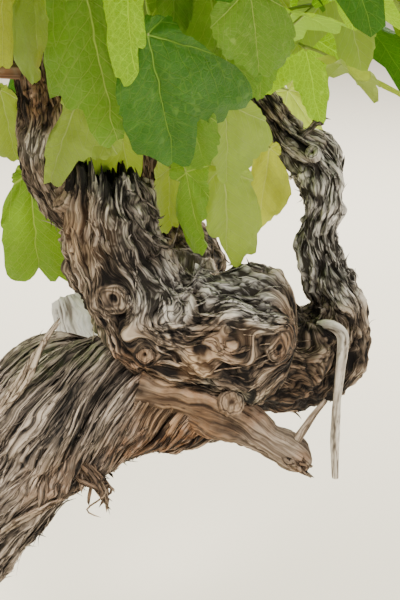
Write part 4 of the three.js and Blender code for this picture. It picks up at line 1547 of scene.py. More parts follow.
LOW_LEFT = Seen(
    (29, 172), (40, 283),
    (
        (26, 166), (14, 186), (3, 206), (3, 236), (6, 264), (12, 280), (20, 284), (30, 275), (40, 271),
        (51, 281), (59, 277), (68, 280), (78, 282), (77, 262), (71, 240), (58, 221), (46, 200), (36, 178),
    ),
)
BRIGHT_FOLD = Seen(
    (126, -30), (128, 85),
    (
        (104, -30), (103, 5), (108, 28), (110, 52), (113, 74), (120, 83), (130, 85), (136, 80), (138, 60),
        (136, 46), (144, 47), (150, 42), (147, 34), (143, 18), (143, -5), (140, -34),
    ),
)
CURLED = Seen(
    (80, 92), (39, 196),
    (
        (68, 84), (62, 100), (63, 112), (59, 130), (49, 150), (40, 164), (47, 172), (53, 176), (45, 186),
        (39, 196), (50, 190), (62, 182), (71, 174), (74, 163), (83, 157), (95, 156), (110, 157), (121, 148),
        (118, 125), (106, 104), (92, 88),
    ),
)
DARK = Seen(
    (148, 35), (180, 168),
    (
        (147, 17), (162, 17), (181, 33), (206, 50), (235, 68), (248, 82), (254, 107), (240, 111),
        (227, 112), (224, 130), (212, 124), (200, 114), (191, 112), (195, 124), (194, 150), (188, 163),
        (180, 168), (168, 165), (152, 157), (148, 148), (140, 155), (134, 153), (129, 138), (124, 120),
        (117, 104), (115, 86), (124, 64), (136, 46),
    ),
)
FAN = Seen(
    (225, 104), (232, 187),
    (
        (212, 120), (208, 140), (210, 155), (216, 166), (220, 180), (228, 187), (236, 182), (241, 186),
        (243, 168), (252, 166), (258, 158), (268, 149), (273, 140), (270, 128), (262, 113), (252, 102),
        (240, 97), (228, 95), (216, 103),
    ),
)
FOLDED = Seen(
    (191, 104), (198, 166),
    (
        (180, 108), (182, 130), (183, 156), (190, 170), (199, 170), (210, 164), (217, 148), (217, 128),
        (208, 108), (192, 96),
    ),
)
MIDDLE_RIGHT = Seen(
    (186, 172), (194, 256),
    (
        (172, 162), (176, 186), (180, 205), (178, 225), (184, 246), (194, 256), (201, 252), (207, 243),
        (205, 225), (205, 205), (206, 185), (206, 164), (186, 148),
    ),
)
MIDDLE_LEFT = Seen(
    (170, 168), (162, 233),
    (
        (156, 162), (153, 183), (148, 205), (152, 221), (162, 233), (171, 226), (181, 223), (187, 200),
        (187, 180), (184, 162), (170, 148),
    ),
)
LOW_MIDDLE = Seen(
    (224, 168), (234, 271),
    (
        (206, 166), (207, 200), (206, 226), (213, 237), (222, 241), (228, 256), (234, 271), (241, 262),
        (248, 254), (257, 256), (260, 240), (261, 225), (258, 205), (253, 188), (248, 168), (226, 156),
    ),
)
PALE_RIGHT = Seen(
    (270, 148), (259, 233),
    (
        (258, 152), (252, 170), (251, 190), (255, 214), (259, 233), (266, 222), (277, 216), (286, 204),
        (291, 192), (297, 184), (286, 171), (278, 158), (272, 142),
    ),
)
BEHIND_CHAR = Seen(
    (118, 118), (134, 193),
    (
        (84, 124), (76, 158), (84, 180), (104, 190), (120, 186), (134, 194), (139, 186), (141, 160),
        (138, 122), (118, 108),
    ),
)
OVER_STEM = Seen(
    (250, -12), (262, 76),
    ((222, -6), (212, 22), (222, 50), (242, 66), (262, 76), (284, 64), (296, 40), (288, 12), (266, -8)),
)
PALE_TOP = Seen(
    (196, -50), (240, 92),
    (
        (168, -30), (150, -10), (150, 10), (166, 22), (183, 36), (206, 52), (228, 62), (240, 88), (252, 96),
        (262, 84), (262, 60), (250, 30), (236, -5), (218, -40),
    ),
)
GREEN_TOP = Seen(
    (262, 20), (262, 104),
    ((250, 24), (240, 50), (246, 76), (252, 92), (262, 104), (268, 92), (275, 80), (280, 60), (276, 36)),
)


@dataclass(frozen=True)
class Glow:
    """A marked place on a hanging leaf: where it shows in the picture, its depth, and its reach in mm."""

    seen: Pair
    depth: float
    reach: float


# Where the sun comes through hanging leaves, and where they have browned
SUNLIT = (
    Glow((121, 94), -161, 7), Glow((130, 122), -157, 8), Glow((138, 146), -149, 11),
    Glow((16, 222), 68, 12), Glow((22, 242), 66, 12),
)
BROWNED_PLACES = (
    Glow((32, 70), -148, 15), Glow((222, 122), -128, 7), Glow((246, 112), -128, 6), Glow((45, 60), -144, 6),
)


def glow(points: Array, places: tuple[Glow, ...]) -> Array:
    """How strongly each point is marked: the greatest exp(-(distance / reach)^2) of the places."""
    away = [points - VIEW.at_depth(place.seen, place.depth) for place in places]
    away = [np.linalg.norm(off, axis=-1) / place.reach for off, place in zip(away, places)]
    return np.max([np.exp(-distance * distance) for distance in away], axis=0)


@dataclass(frozen=True)
class HangingLeaf:
    """A leaf that hangs low on the near side: as the source places it, with its own green.

    It is drawn as seen in the picture, or else with the widths of its left and right halves, seen from the
    upper face with the tip down, as shares of a full half's width.
    """

    base: Triple
    tip: Triple
    facing: Triple
    tone: Tone = Tone.MID
    widths: Pair = (0.8, 0.8)
    lobes: tuple[Triple, ...] = FIVE_LOBED
    seen: Seen | None = None


@dataclass
class Mass:
    """A mass of shoots and leaves that grows on from one limb, within its own space.

    The masses' sites part the space between them, in plan. Leaves keep above the skirt, a height that falls
    away to the back. A shoot has its azimuth and elevation in degrees, its length and its droop. Hanging
    leaves stand in the source too, and the others are added here.
    """

    name: str
    seed: int
    limb: str
    site: Pair
    skirt: float
    shoots: tuple[tuple[float, float, float, float], ...]
    hanging: tuple[HangingLeaf, ...] = ()
    also: tuple[HangingLeaf, ...] = ()

    def depth(self, points: Array) -> Array:
        """How far points lie inside the mass's space, past every plane that parts it from another mass."""
        here = np.array(self.site, float)
        depths = []
        for other in MASSES:
            if other is self:
                continue
            there = np.array(other.site, float)
            past = (points[..., :2] - (here + there) / 2) @ (there - here)
            depths.append(-past / np.linalg.norm(there - here))
        return np.min(depths, axis=0)

    def grow_shoot(self, start: Array, towards: Array, length: float, droop: float) -> list:
        """A shoot's joints from its foot on, each a place, a heading and a share of the length.

        Args:
            start: Its foot.
            towards: Its heading there.
            length: How long it grows.
            droop: How much it bows over.

        Returns:
            The joints.
        """
        joints = [(start.copy(), towards.copy(), 0.0)]
        point = start.copy()
        ahead = towards.copy()
        grown = 0.0
        while grown < length:
            share = grown / length
            step = between(INTERNODE, INTERNODE_AT_TIP, share)
            ahead[0] += SHOOT_SWAY * (self.draws.next() - 0.5)
            ahead[1] += SHOOT_SWAY * (self.draws.next() - 0.5)
            ahead[2] -= droop * share * SHOOT_BOW
            ahead = unit(ahead)
            point = point + ahead * step
            grown += step
            if self.depth(point) < 3 * CELL_MARGIN:
                break
            joints.append((point.copy(), ahead.copy(), min(grown / length, 1)))
        return joints

    def fits(self, leaf: Leaf) -> bool:
        """Whether a leaf stays in the mass's space, off the wood, and clear of shoots and other leaves."""
        points = np.vstack([leaf.rim, leaf.base, leaf.middle])
        below = points[:, 2] <= self.skirt - SKIRT_SLOPE * points[:, 1]
        if np.any(self.depth(points) <= CELL_MARGIN) or np.any(below):
            return False
        off = np.linalg.norm(points[:, None] - self.beads[None, :, :3], axis=-1) - self.beads[:, 3]
        if off.min() <= LIMB_MARGIN:
            return False
        near = []
        for other in self.leaves:
            apart = np.linalg.norm(other.middle - leaf.middle)
            if apart <= LEAF_SPACING * leaf.length:
                return False
            if apart <= 2 * LEAF_LENGTH:
                near.append(other)
        if near:
            if crossing(leaf.starts, leaf.stops, np.concatenate([other.faces for other in near])):
                return False
            starts = np.concatenate([other.starts for other in near])
            if crossing(starts, np.concatenate([other.stops for other in near]), leaf.faces):
                return False
        return not crossing(*self.lines, leaf.faces)

    def grow_leaf(self, joint: tuple, side: int, length: float) -> None:
        """Adds the leaf at a joint where it fits, trying it further and further round its shoot.

        Args:
            joint: The joint's place, heading and share.
            side: Which side of the shoot it stands on.
            length: The blade's length.
        """
        place, towards, _ = joint
        flat = unit(np.cross(towards, UP)) * side
        tilt = between(*LEAF_TILT, self.draws.next())
        sway = LEAF_SWAY * (self.draws.next() - 0.5)
        for turn in LEAF_TURNS:
            off = turned(flat, towards, turn + sway)
            stalk = unit(off + 0.45 * towards + 0.3 * UP)
            root = place - BELOW_JOINT * towards
            base = root + STALK_SHARE * length * stalk
            along = unit(np.array([stalk[0], stalk[1], 0])) * LEAF_REACH
            along[2] = -tilt
            leaf = Leaf(root, base, length, along, UP + 0.7 * off)
            if self.fits(leaf):
                self.leaves.append(leaf)
                return

    def grow(self, beads: Array) -> None:
        """Grows the shoots, side shoots and leaves by the source's rule, then finer twigs with small leaves.

        Args:
            beads: Places and radii along the limbs.
        """
        self.beads = beads
        self.draws = Draws(self.seed)
        end, before = LIMBS[self.limb].curve(np.array([1.0, 0.98]))
        along = unit(end[:3] - before[:3])
        self.foot = end[:3] + along * CLEARANCE
        self.foot_radius = end[3]
        self.top = self.foot + along * STEM_LENGTH
        start = self.top - 0.25 * STEM_LENGTH * along
        self.grown: list[tuple[list, float]] = []
        for azimuth, elevation, length, droop in self.shoots:
            a, e = np.radians([azimuth, elevation])
            heading = np.array([np.cos(e) * np.cos(a), np.cos(e) * np.sin(a), np.sin(e)])
            joints = self.grow_shoot(start, heading, length, droop)
            self.grown.append((joints, SHOOT_RADIUS))
            side = 1 if self.draws.next() < 0.5 else -1
            for place, towards, _ in joints[1:-1]:
                side = -side
                if self.draws.next() > SIDE_SHOOT_CHANCE:
                    continue
                off = unit(np.cross(towards, UP)) * side
                heading = unit(off + 0.8 * towards + 0.3 * UP)
                origin = place - BELOW_JOINT * towards
                joints_aside = self.grow_shoot(origin, heading, SIDE_SHOOT_LENGTH, SIDE_SHOOT_DROOP)
                if len(joints_aside) > 1:
                    self.grown.append((joints_aside, SIDE_SHOOT_RADIUS))
        self.leaves = [self.hung(index, leaf) for index, leaf in enumerate(self.hanging)]
        self.lines = self.stretches(self.grown)
        for joints, radius in self.grown:
            full = 1 if radius == SHOOT_RADIUS else SIDE_LEAF_SHARE
            side = 1 if self.draws.next() < 0.5 else -1
            for joint in joints[1:]:
                shrunk = 1 - TIP_SHRINK * joint[2] ** 2
                size = LEAF_LENGTH * full * shrunk * between(*LEAF_SIZES, self.draws.next())
                self.grow_leaf(joint, side, size)
                side = -side
        self.rule_leaves = len(self.leaves)
        self.grow_finer()

    def grow_finer(self) -> None:
        """Adds short twigs between the side shoots, each with a few small leaves, where they fit."""
        low, high = (np.array(corner) / MM for corner in CAD_BOX)
        self.draws = Draws(self.seed + 1000)
        finer = []
        for joints, _ in list(self.grown):
            side = 1
            for place, towards, share in joints[1:]:
                side = -side
                for tries in (side, -side):
                    flat = unit(np.cross(towards, UP)) * tries
                    off = turned(flat, towards, TWIG_SWAY * (self.draws.next() - 0.2))
                    heading = unit(off + 0.6 * towards + 0.2 * UP)
                    twig = self.grow_shoot(place - BELOW_JOINT * towards, heading, TWIG_LENGTH, TWIG_DROOP)
                    if len(twig) < 2 or self.draws.next() < TWIG_SKIPPED:
                        continue
                    ends = np.array([joint[0] for joint in twig])
                    if np.any(ends < low + TWIG_INSIDE) or np.any(ends > high - TWIG_INSIDE):
                        continue
                    before = len(self.leaves)
                    self.lines = self.stretches(self.grown + finer)
                    for step, joint in enumerate(twig[1:]):
                        size = LEAF_LENGTH * between(*TWIG_LEAF_SIZES, self.draws.next()) * (1 - 0.35 * share)
                        self.grow_leaf(joint, 1 if step % 2 else -1, size)
                    added = self.leaves[before:]
                    new = [leaf for leaf in added if np.all((leaf.rim > low) & (leaf.rim < high))]
                    self.leaves[before:] = new
                    if new:
                        finer.append((twig, TWIG_RADIUS))
        self.grown = self.grown + finer

    def hung(self, index: int, leaf: HangingLeaf) -> Leaf:
        """A hanging leaf on a stalk from the nearest joint of a shoot."""
        base = np.array(leaf.base, float)
        joints = [joint for joints, _ in self.grown for joint in joints]
        place, towards, _ = min(joints, key=lambda joint: float(np.linalg.norm(joint[0] - base)))
        along = np.array(leaf.tip, float) - base
        root = place - BELOW_JOINT * towards
        return Leaf(root, base, float(np.linalg.norm(along)), along, np.array(leaf.facing, float), index)

    def settle(self) -> None:
        """Moves each hanging leaf that shows clearly to where it shows, and adds more leaves that show."""
        first = len(self.hanging)
        self.leaves += [self.hung(first + index, leaf) for index, leaf in enumerate(self.also)]
        for leaf in self.leaves:
            seen = leaf.hanging >= 0 and self.given(leaf).seen
            if seen:
                tip = VIEW.at_depth(seen.tip, leaf.rim[0][1])
                leaf.base = VIEW.at_depth(seen.stalk, leaf.base[1])
                leaf.along = tip - leaf.base
                leaf.length = float(np.linalg.norm(leaf.along))
                leaf.__post_init__()

    def given(self, leaf: Leaf) -> HangingLeaf:
        """What is given of a hanging leaf."""
        return (self.hanging + self.also)[leaf.hanging]

    @staticmethod
    def stretches(grown: list) -> tuple[Array, Array]:
        """The starts and stops of every stretch between two joints."""
        starts = [joint[0] for joints, _ in grown for joint in joints[:-1]]
        stops = [joint[0] for joints, _ in grown for joint in joints[1:]]
        return np.array(starts), np.array(stops)


MASSES = [
    Mass(
        "foliage_front", 11, "spur_left", (215, -90), 664,
        (
            (-40, 50, 420, 0.5), (-78, 48, 430, 0.5), (-16, 42, 420, 0.4), (-24, 6, 190, 0.1),
            (186, 14, 120, 0.2), (-70, 78, 480, 0.3), (222, 62, 400, 0.5),
        ),
        (
            HangingLeaf(
                (210, -105, 750), (233, -135, 630), (-0.15, -0.9, 0.3), Tone.MID, lobes=SHALLOW, seen=BIG
            ),
            HangingLeaf(
                (184, -140, 759), (174, -150, 675), (-0.75, -0.65, 0.1), Tone.DULL, lobes=SHALLOW,
                seen=BROWNED,
            ),
            HangingLeaf((162, -60, 737), (139, -70, 667), (0.3, -0.9, 0.3), Tone.YELLOW, widths=(0.6, 0.7)),
            HangingLeaf((109, 34, 644), (148, 30, 571), (-0.1, -0.95, 0.3), Tone.LIGHT, seen=FAR_EDGE),
            HangingLeaf(
                (150, 74, 566), (164, 64, 464), (0.1, -0.97, 0.2), Tone.MID, lobes=THREE_FINGERED,
                seen=LOW_LEFT,
            ),
            HangingLeaf(
                (231, -172, 756), (245, -186, 668), (-0.4, -0.85, 0.2), Tone.BRIGHT, lobes=SHALLOW,
                seen=BRIGHT_FOLD,
            ),
            HangingLeaf(
                (227, -62, 655), (172, -58, 575), (-0.2, -0.95, 0.25), Tone.LIGHT, lobes=SHALLOW,
                seen=CURLED,
            ),
            HangingLeaf(
                (256, -150, 709), (280, -128, 606), (0.1, -0.9, 0.45), Tone.DEEP, lobes=SHALLOW, seen=DARK
            ),
            HangingLeaf(
                (307, -80, 643), (319, -72, 576), (0.2, -0.9, 0.35), Tone.LIGHT, lobes=SHALLOW, seen=FAN
            ),
            HangingLeaf((287, -105, 656), (266, -92, 596), (-0.2, -0.9, 0.3), Tone.MID, seen=FOLDED),
            HangingLeaf(
                (276, -45, 583), (285, -42, 522), (-0.7, -0.6, 0.2), Tone.MID, lobes=SHALLOW,
                seen=MIDDLE_RIGHT,
            ),
            HangingLeaf((284, 8, 590), (264, 6, 524), (-0.75, -0.6, 0.2), Tone.LIGHT, seen=MIDDLE_LEFT),
            HangingLeaf(
                (311, -35, 590), (318, -30, 506), (0.3, -0.9, 0.2), Tone.LIGHT, lobes=SHALLOW,
                seen=LOW_MIDDLE,
            ),
            HangingLeaf((274, -70, 765), (271, -92, 692), (0, -0.9, 0.4), Tone.MID),
            HangingLeaf((313, -40, 755), (310, -55, 674), (0.1, -0.9, 0.4), Tone.LIGHT),
            HangingLeaf((327, -20, 681), (336, -26, 641), (0.2, -0.9, 0.4), Tone.DEEP),
        ),
        (
            HangingLeaf((130, -90, 760), (140, -96, 690), (0.2, -0.9, 0.3), Tone.YELLOW, seen=YELLOW_EDGE),
            HangingLeaf((226, 20, 650), (240, 14, 600), (0.1, -0.9, 0.3), Tone.LIGHT, seen=BEHIND_CHAR),
            HangingLeaf((292, -60, 780), (330, -90, 670), (0.1, -0.9, 0.4), Tone.MID, seen=PALE_TOP),
            HangingLeaf((340, -50, 730), (344, -60, 670), (0.1, -0.9, 0.4), Tone.MID, seen=GREEN_TOP),
            HangingLeaf((332, -128, 740), (340, -134, 680), (0.1, -0.9, 0.4), Tone.MID, seen=OVER_STEM),
        ),
    ),
    Mass(
        "foliage_right", 23, "arm_right", (430, 170), 626,
        ((-38, 48, 420, 0.5), (10, 56, 420, 0.6), (46, 70, 420, 0.5), (-10, 82, 460, 0.3)),
        (
            HangingLeaf(
                (342, 100, 571), (356, 96, 504), (0.1, -0.95, 0.2), Tone.YELLOW, lobes=SHALLOW,
                seen=PALE_RIGHT,
            ),
            HangingLeaf((370, 70, 674), (391, 60, 598), (0.1, -0.9, 0.4), Tone.BRIGHT),
            HangingLeaf((398, 60, 722), (426, 48, 636), (0.2, -0.9, 0.4), Tone.LIGHT),
            HangingLeaf((369, 192, 600), (401, 188, 556), (0.1, -0.9, 0.3), Tone.LIGHT),
            HangingLeaf((340, 58, 712), (345, 50, 640), (-0.1, -0.9, 0.4), Tone.BRIGHT),
        ),
    ),
    Mass(
        "foliage_back", 37, "arm_back", (215, 300), 592,
        ((88, 50, 430, 0.6), (140, 58, 420, 0.6), (52, 64, 420, 0.5), (110, 82, 500, 0.3)),
    ),
    Mass(
        "foliage_left", 51, "arm_far_left", (-100, 150), 560,
        ((180, 52, 360, 0.6), (236, 58, 380, 0.6), (120, 56, 400, 0.6), (60, 80, 440, 0.3)),
    ),
]


# A traced rim is evened out over these angles, in radians, and drawn a little wider for its teeth
TRACED_SPREAD = (-0.04, 0, 0, 0.04)
TRACED_REACH = 1.02


@dataclass(frozen=True)
class BladeForm:
    """A blade's own form: how finely it is drawn, and how it is lobed, toothed, folded and curled."""

    rings: int
    teeth: int
    steps: int
    lobes: tuple[Triple, ...]
    widths: Pair
    folds: Pair
    curl: float
    seed: int
    traced: Array | None = None

    def rim(self, angle: Array) -> Array:
        """The outline's distance from the stalk's end, in blade lengths.

        Each lobe falls off beside its rib as reach / (1 + (angle / width)^2), the lobes are joined by an
        eighth-power mean, and a bay cuts in at the stalk. A traced rim is read off instead.

        Args:
            angle: Angles from the middle rib.

        Returns:
            One distance per angle.
        """
        if self.traced is not None:
            near = [np.interp(angle + off, *self.traced, period=2 * np.pi) for off in TRACED_SPREAD]
            return TRACED_REACH * np.mean(near, axis=0)
        total = np.zeros_like(angle)
        for rib, reach, width in self.lobes:
            off = (np.abs(angle) - np.radians(rib)) / np.radians(width)
            total = total + (reach / (1 + 0.9 * np.abs(off) ** 1.7)) ** 8
        bay = 1 - smooth_step(np.pi - 0.45, np.pi, np.abs(angle))
        return total ** (1 / 8) * (0.1 + 0.9 * bay)

    def sheet(self) -> tuple[Array, Array]:
        """The blade's points and its flat coordinates, on rings round the stalk's end.

        Teeth are a leaning, rounded wave that grows with the tenth power of the distance out. The blade is
        cupped as the source's is, creased along the ribs, puffed between them and waved at its rim, and each
        half is turned about the middle rib.

        Returns:
            Points, (rings, spokes, 3), as across, along and up in blade lengths, and the flat places.
        """
        angle = np.linspace(-np.pi, np.pi, self.teeth * self.steps + 1)
        out = np.linspace(0, 1, self.rings + 1)[:, None] ** 0.85
        circle = np.stack([np.cos(angle), np.sin(angle), np.zeros_like(angle)], axis=-1)
        uneven = lattice_noise(circle * 3, self.seed) * 0.09 + lattice_noise(circle * 9, self.seed + 1) * 0.05
        uneven = uneven * (0.2 if self.traced is not None else 1)
        phase = (np.abs(angle) / (2 * np.pi) + 0.02 * lattice_noise(circle * 4, self.seed + 4)) * self.teeth
        saw = phase - np.floor(phase)
        tooth = np.minimum(saw / 0.62, (1 - saw) / 0.38) ** 0.7 - 0.6
        depth = 0.075 + 0.04 * lattice_noise(circle * 5, self.seed + 5)
        reach = self.rim(angle) * (1 + uneven) * out * (1 + depth * tooth * out**10)
        across = reach * np.sin(angle)
        along = reach * np.cos(angle)
        flat = np.stack([across, along, np.zeros_like(across)], axis=-1)
        folded = np.abs(angle)
        nearest = np.min([np.abs(folded - np.radians(rib)) for rib, _, _ in self.lobes], axis=0)
        beside = reach * np.sin(np.minimum(nearest, np.pi / 2))
        crease = 0.036 * (1 - np.exp(-((beside / 0.09) ** 2))) - 0.018 * np.exp(-((beside / 0.02) ** 2))
        wave = 0.07 * out**3 * lattice_noise(circle * 2.2, self.seed + 2)
        wave = wave + 0.016 * out**5 * np.sin(9 * angle + self.seed)
        spot = np.stack([across * 5, along * 5, np.full_like(across, self.seed * 1.7)], axis=-1)
        puff = 0.04 * lattice_noise(spot, self.seed + 3) + 0.022 * lattice_noise(spot * 2.4, self.seed + 6)
        fall = CUP_ACROSS * across**2 + CUP_ALONG * along * np.abs(along)
        curled = self.curl * np.maximum(0, along - 0.3) ** 2
        height = crease * np.minimum(1, out * 4) + wave + puff * out - fall - curled
        left = smooth_step(-0.05, 0.05, across)
        scale = self.widths[0] * left + self.widths[1] * (1 - left)
        drop = np.radians(self.folds[0] * left + self.folds[1] * (1 - left))
        beside = across * scale
        turned_across = beside * np.cos(drop)
        turned_height = height - np.abs(beside) * np.sin(drop)
        return np.stack([turned_across, along, turned_height], axis=-1), flat


@dataclass
class Foliage:
    """Everything green: the masses' leaves, stalks and shoots, each kind apart."""

    masses: list[Mass]
    groups: Groups
    near_rings: int = 15
    near_teeth: int = 38
    far_rings: int = 3
    far_teeth: int = 22

    def build(self) -> None:
        """Grows the masses and makes their pieces."""
        beads = np.concatenate([limb.curve(np.linspace(0, 1, BEADS_PER_LIMB)) for limb in LIMBS.values()])
        finishes = [tone.value.material(self.groups) for tone in TONES]
        green = StemFinish("shoot_skin", (120, 138, 52), (150, 162, 84)).material(self.groups)
        brown = StemFinish("cane_bark", (72, 50, 34), (118, 92, 66), 0.8).material(self.groups)
        for mass in self.masses:
            mass.grow(beads)
            mass.settle()
            log.info("%s: %d leaves by the rule, %d in all", mass.name, mass.rule_leaves, len(mass.leaves))
            short = mass.name.removeprefix("foliage_")
            self.leaves(mass, "leaves_" + short, finishes)
            self.stems(mass, "shoots_" + short, [green, brown])

    def leaves(self, mass: Mass, name: str, finishes: list[Material]) -> None:
        """Makes a mass's leaves: the hanging ones finely drawn, and all the others in fewer faces.

        Args:
            mass: The mass.
            name: The piece's name.
            finishes: The greens.
        """
        random = np.random.default_rng(mass.seed)
        near = [leaf for leaf in mass.leaves if leaf.hanging >= 0]
        far = [leaf for leaf in mass.leaves if leaf.hanging < 0]
        for label, leaves in (("hanging_" + name, near), (name, far)):
            if not leaves:
                continue
            sheet = Sheet()
            fine = leaves is near
            rings = self.near_rings if fine else self.far_rings
            teeth = self.near_teeth if fine else self.far_teeth
            steps = 4 if fine else 2
            tiles = tile_map(len(leaves), rings + 1, teeth * steps + 1)
            for number, leaf in enumerate(leaves):
                given = mass.given(leaf) if fine else None
                tone = given.tone if given else TONES[random.choice(len(TONES), p=TONE_SHARES)]
                lobes = FIVE_LOBED if random.random() < 0.6 else SHALLOW
                widths, folds = tuple(random.uniform(0.8, 1.08, 2)), tuple(random.uniform(-6, 26, 2))
                curl = random.uniform(-0.1, 0.3)
                form = BladeForm(rings, teeth, steps, lobes, widths, folds, curl, mass.seed * 100 + number)
                if given and given.seen:
                    traced = self.traced(leaf, given.seen)
                    form = replace(
                        form, lobes=given.lobes, widths=(1, 1), folds=(6, 6), curl=0.04, traced=traced
                    )
                elif given:
                    form = replace(form, lobes=given.lobes, widths=given.widths, folds=(10, 10), curl=0.1)
                points, flat = form.sheet()
                world = leaf.base + leaf.length * (points @ np.stack([leaf.across, leaf.along, leaf.normal]))
                flat = flat + np.array([0, 0, number * 3.1])
                attributes = {"blade": flat[None]}
                if fine:
                    attributes["sunlit"] = glow(world, SUNLIT)[None]
                    attributes["browned"] = glow(world, BROWNED_PLACES)[None]
                sheet.add(world[None], False, attributes, tiles[number : number + 1], TONES.index(tone))
            sheet.piece(label, finishes, "foliage", (mass.name,))

    @staticmethod
    def traced(leaf: Leaf, seen: Seen) -> Array:
        """A leaf's rim on its cupped face, as angles from its middle rib and distances in blade lengths.

        Args:
            leaf: The leaf.
            seen: How it shows in the picture.

        Returns:
            The angles, in order, and the distances, (2, n).
        """
        fall = np.zeros((len(seen.rim), 1))
        for _ in range(4):
            plane = leaf.base - leaf.normal * leaf.length * fall
            rim = VIEW.on_plane(np.array(seen.rim, float), plane, leaf.normal) - leaf.base
            across, along = rim @ leaf.across / leaf.length, rim @ leaf.along / leaf.length
            fall = (CUP_ACROSS * across**2 + CUP_ALONG * along * np.abs(along))[:, None]
        angle = np.arctan2(across, along)
        order = np.argsort(angle)
        return np.stack([angle[order], np.hypot(across, along)[order]])

    def stems(self, mass: Mass, name: str, finishes: list[Material]) -> None:
        """Makes a mass's foot, its shoots and its leaf stalks as round tubes.

        Args:
            mass: The mass.
            name: The piece's name.
            finishes: Green skin and brown cane.
        """
        sheet = Sheet()
        rise = mass.top - mass.foot
        below = mass.foot - unit(rise) * 8
        foot = np.stack([below, mass.foot, (mass.foot + mass.top) / 2, mass.top, mass.top + rise * 0.12])
        radii = mass.foot_radius * np.array(FOOT_RADII)
        tubes = [(foot, radii, FOOT_SIDES, 1)] if mass.limb not in CANE_FEET else []
        for joints, radius in mass.grown:
            points = np.array([joint[0] for joint in joints])
            share = np.array([joint[2] for joint in joints])
            thick = radius + (min(radius, SHOOT_TIP_RADIUS) - radius) * share
            path, radii = self.jointed(points, thick * SHOOT_SHARE)
            stump = radius == SHOOT_RADIUS and len(joints) < 3
            tubes.append((path, radii, SHOOT_SIDES, int(stump)))
        for leaf in mass.leaves:
            bowed = (leaf.root + leaf.base) / 2 + UP * 0.1 * np.linalg.norm(leaf.base - leaf.root)
            t = np.linspace(0, 1, STALK_STEPS)[:, None]
            path = leaf.root * (1 - t) ** 2 + 2 * bowed * t * (1 - t) + leaf.base * t**2
            tubes.append((path, np.linspace(*STALK_RADII, STALK_STEPS), STALK_SIDES, 0))
        tiles = tile_map(len(tubes), 2, 2)
        for number, (path, radii, sides, index) in enumerate(tubes):
            grid = self.tube(path, radii, sides)
            corner, far = tiles[number, 0, 0], tiles[number, 1, 1]
            u, v = np.meshgrid(
                np.linspace(corner[0], far[0], sides + 1), np.linspace(corner[1], far[1], len(grid))
            )
            sheet.add(grid[None], True, {}, np.stack([u, v], axis=-1)[None], index)
        sheet.piece(name, finishes, "foliage", (mass.name,))

    @staticmethod
    def jointed(points: Array, thick: Array) -> tuple[Array, Array]:
        """A smooth path through joints, five steps to each, that swells by a third at each joint."""
        steps = 5
        line = Limb(tuple(map(tuple, np.column_stack([points, thick]))))
        number = (len(points) - 1) * steps + 1
        curve = line.curve(np.linspace(0, 1, number))
        swell = np.where(np.arange(number) % steps == 0, 1.32, 1.0)
        return curve[:, :3], np.maximum(curve[:, 3], 0.6) * swell

    @staticmethod
    def tube(path: Array, radii: Array, sides: int) -> Array:
        """Rings round a path, with both ends drawn to a point.

        Args:
            path: The middle line, (n, 3).
            radii: A radius at each point.
            sides: Points in a ring.

        Returns:
            The rings, (n + 2, sides, 3).
        """
        heading = unit(np.gradient(path, axis=0))
        seen = np.where(np.abs(heading[:, 2:3]) < 0.95, UP, np.array([1.0, 0, 0]))
        front = unit(seen - heading * np.sum(seen * heading, axis=1, keepdims=True))
        side = np.cross(heading, front)
        angle = np.linspace(0, 2 * np.pi, sides, endpoint=False)[None, :, None]
        circle = front[:, None] * np.cos(angle) + side[:, None] * np.sin(angle)
        rings = path[:, None] + radii[:, None, None] * circle
        tips = [path[end] + heading[end] * sign * radii[end] * 0.4 for end, sign in ((0, -1), (-1, 1))]
        first, last = (np.broadcast_to(tip, (1, sides, 3)) for tip in tips)
        return np.concatenate([first, rings, last])


# Limbs whose foliage stem is barked like the limb, and goes on from it
CANE_FEET = ("spur_left", "arm_right")
# Limbs that run on through the source's next node
SPUR_AND_FOOT = Limb(LIMBS["spur_left"].spine + ((167, -2, 663, 16), (165, -1, 682, 10)))
ARM_TO_FIST = Limb(
    domed=0.13,
    spine=(
        (366, -17, 436, 44), (335, -15, 442, 50), (304, -13, 442, 49), (274, -10, 443, 46),
        (248, -7, 458, 40), (231, -3, 488, 36), (220, -1, 522, 33), (216, 0, 552, 31), (213, 0, 578, 27),
    ),
)
BASE_TO_ARM = Limb(
    spine=(
        (236, 30, 384, 38), (286, 56, 382, 40), (334, 82, 379, 42), (378, 106, 378, 43),
        (408, 122, 392, 36), (417, 128, 420, 25), (407, 131, 447, 20), (396, 135, 483, 17),
        (398, 140, 517, 17), (396, 145, 547, 20), (372, 150, 568, 14), (345, 155, 598, 10),
        (334, 157, 611, 8.5), (323, 159, 623, 6),
    ),
)
KNOTS = (
    Mark((222, -38, 484), 13, 3.5), Mark((269, -55, 482), 15, 4), Mark((249, -50, 443), 9, 3, Kind.HOLE),
    Mark((313, -66, 462), 10, 2.5, Kind.HOLE), Mark((350, -55, 452), 13, 3),
    Mark((404, 84, 414), 15, -5, Kind.HOLE), Mark((317, -57, 411), 8, 2, Kind.CUT),
)


@dataclass(frozen=True)
class Stub:
    """A short cut spur: its foot, the way it points, its radius and length, and its rotted pith's depth."""

    place: Triple
    towards: Triple
    radius: float
    length: float
    pith: float = 1.0


@dataclass(frozen=True)
class Shred:
    """A bunch of loose fibres along a path through four points, each fibre a little apart from the others."""

    path: tuple[Triple, ...]
    width: float
    strands: int
    spread: float
    tone: float = 0.8


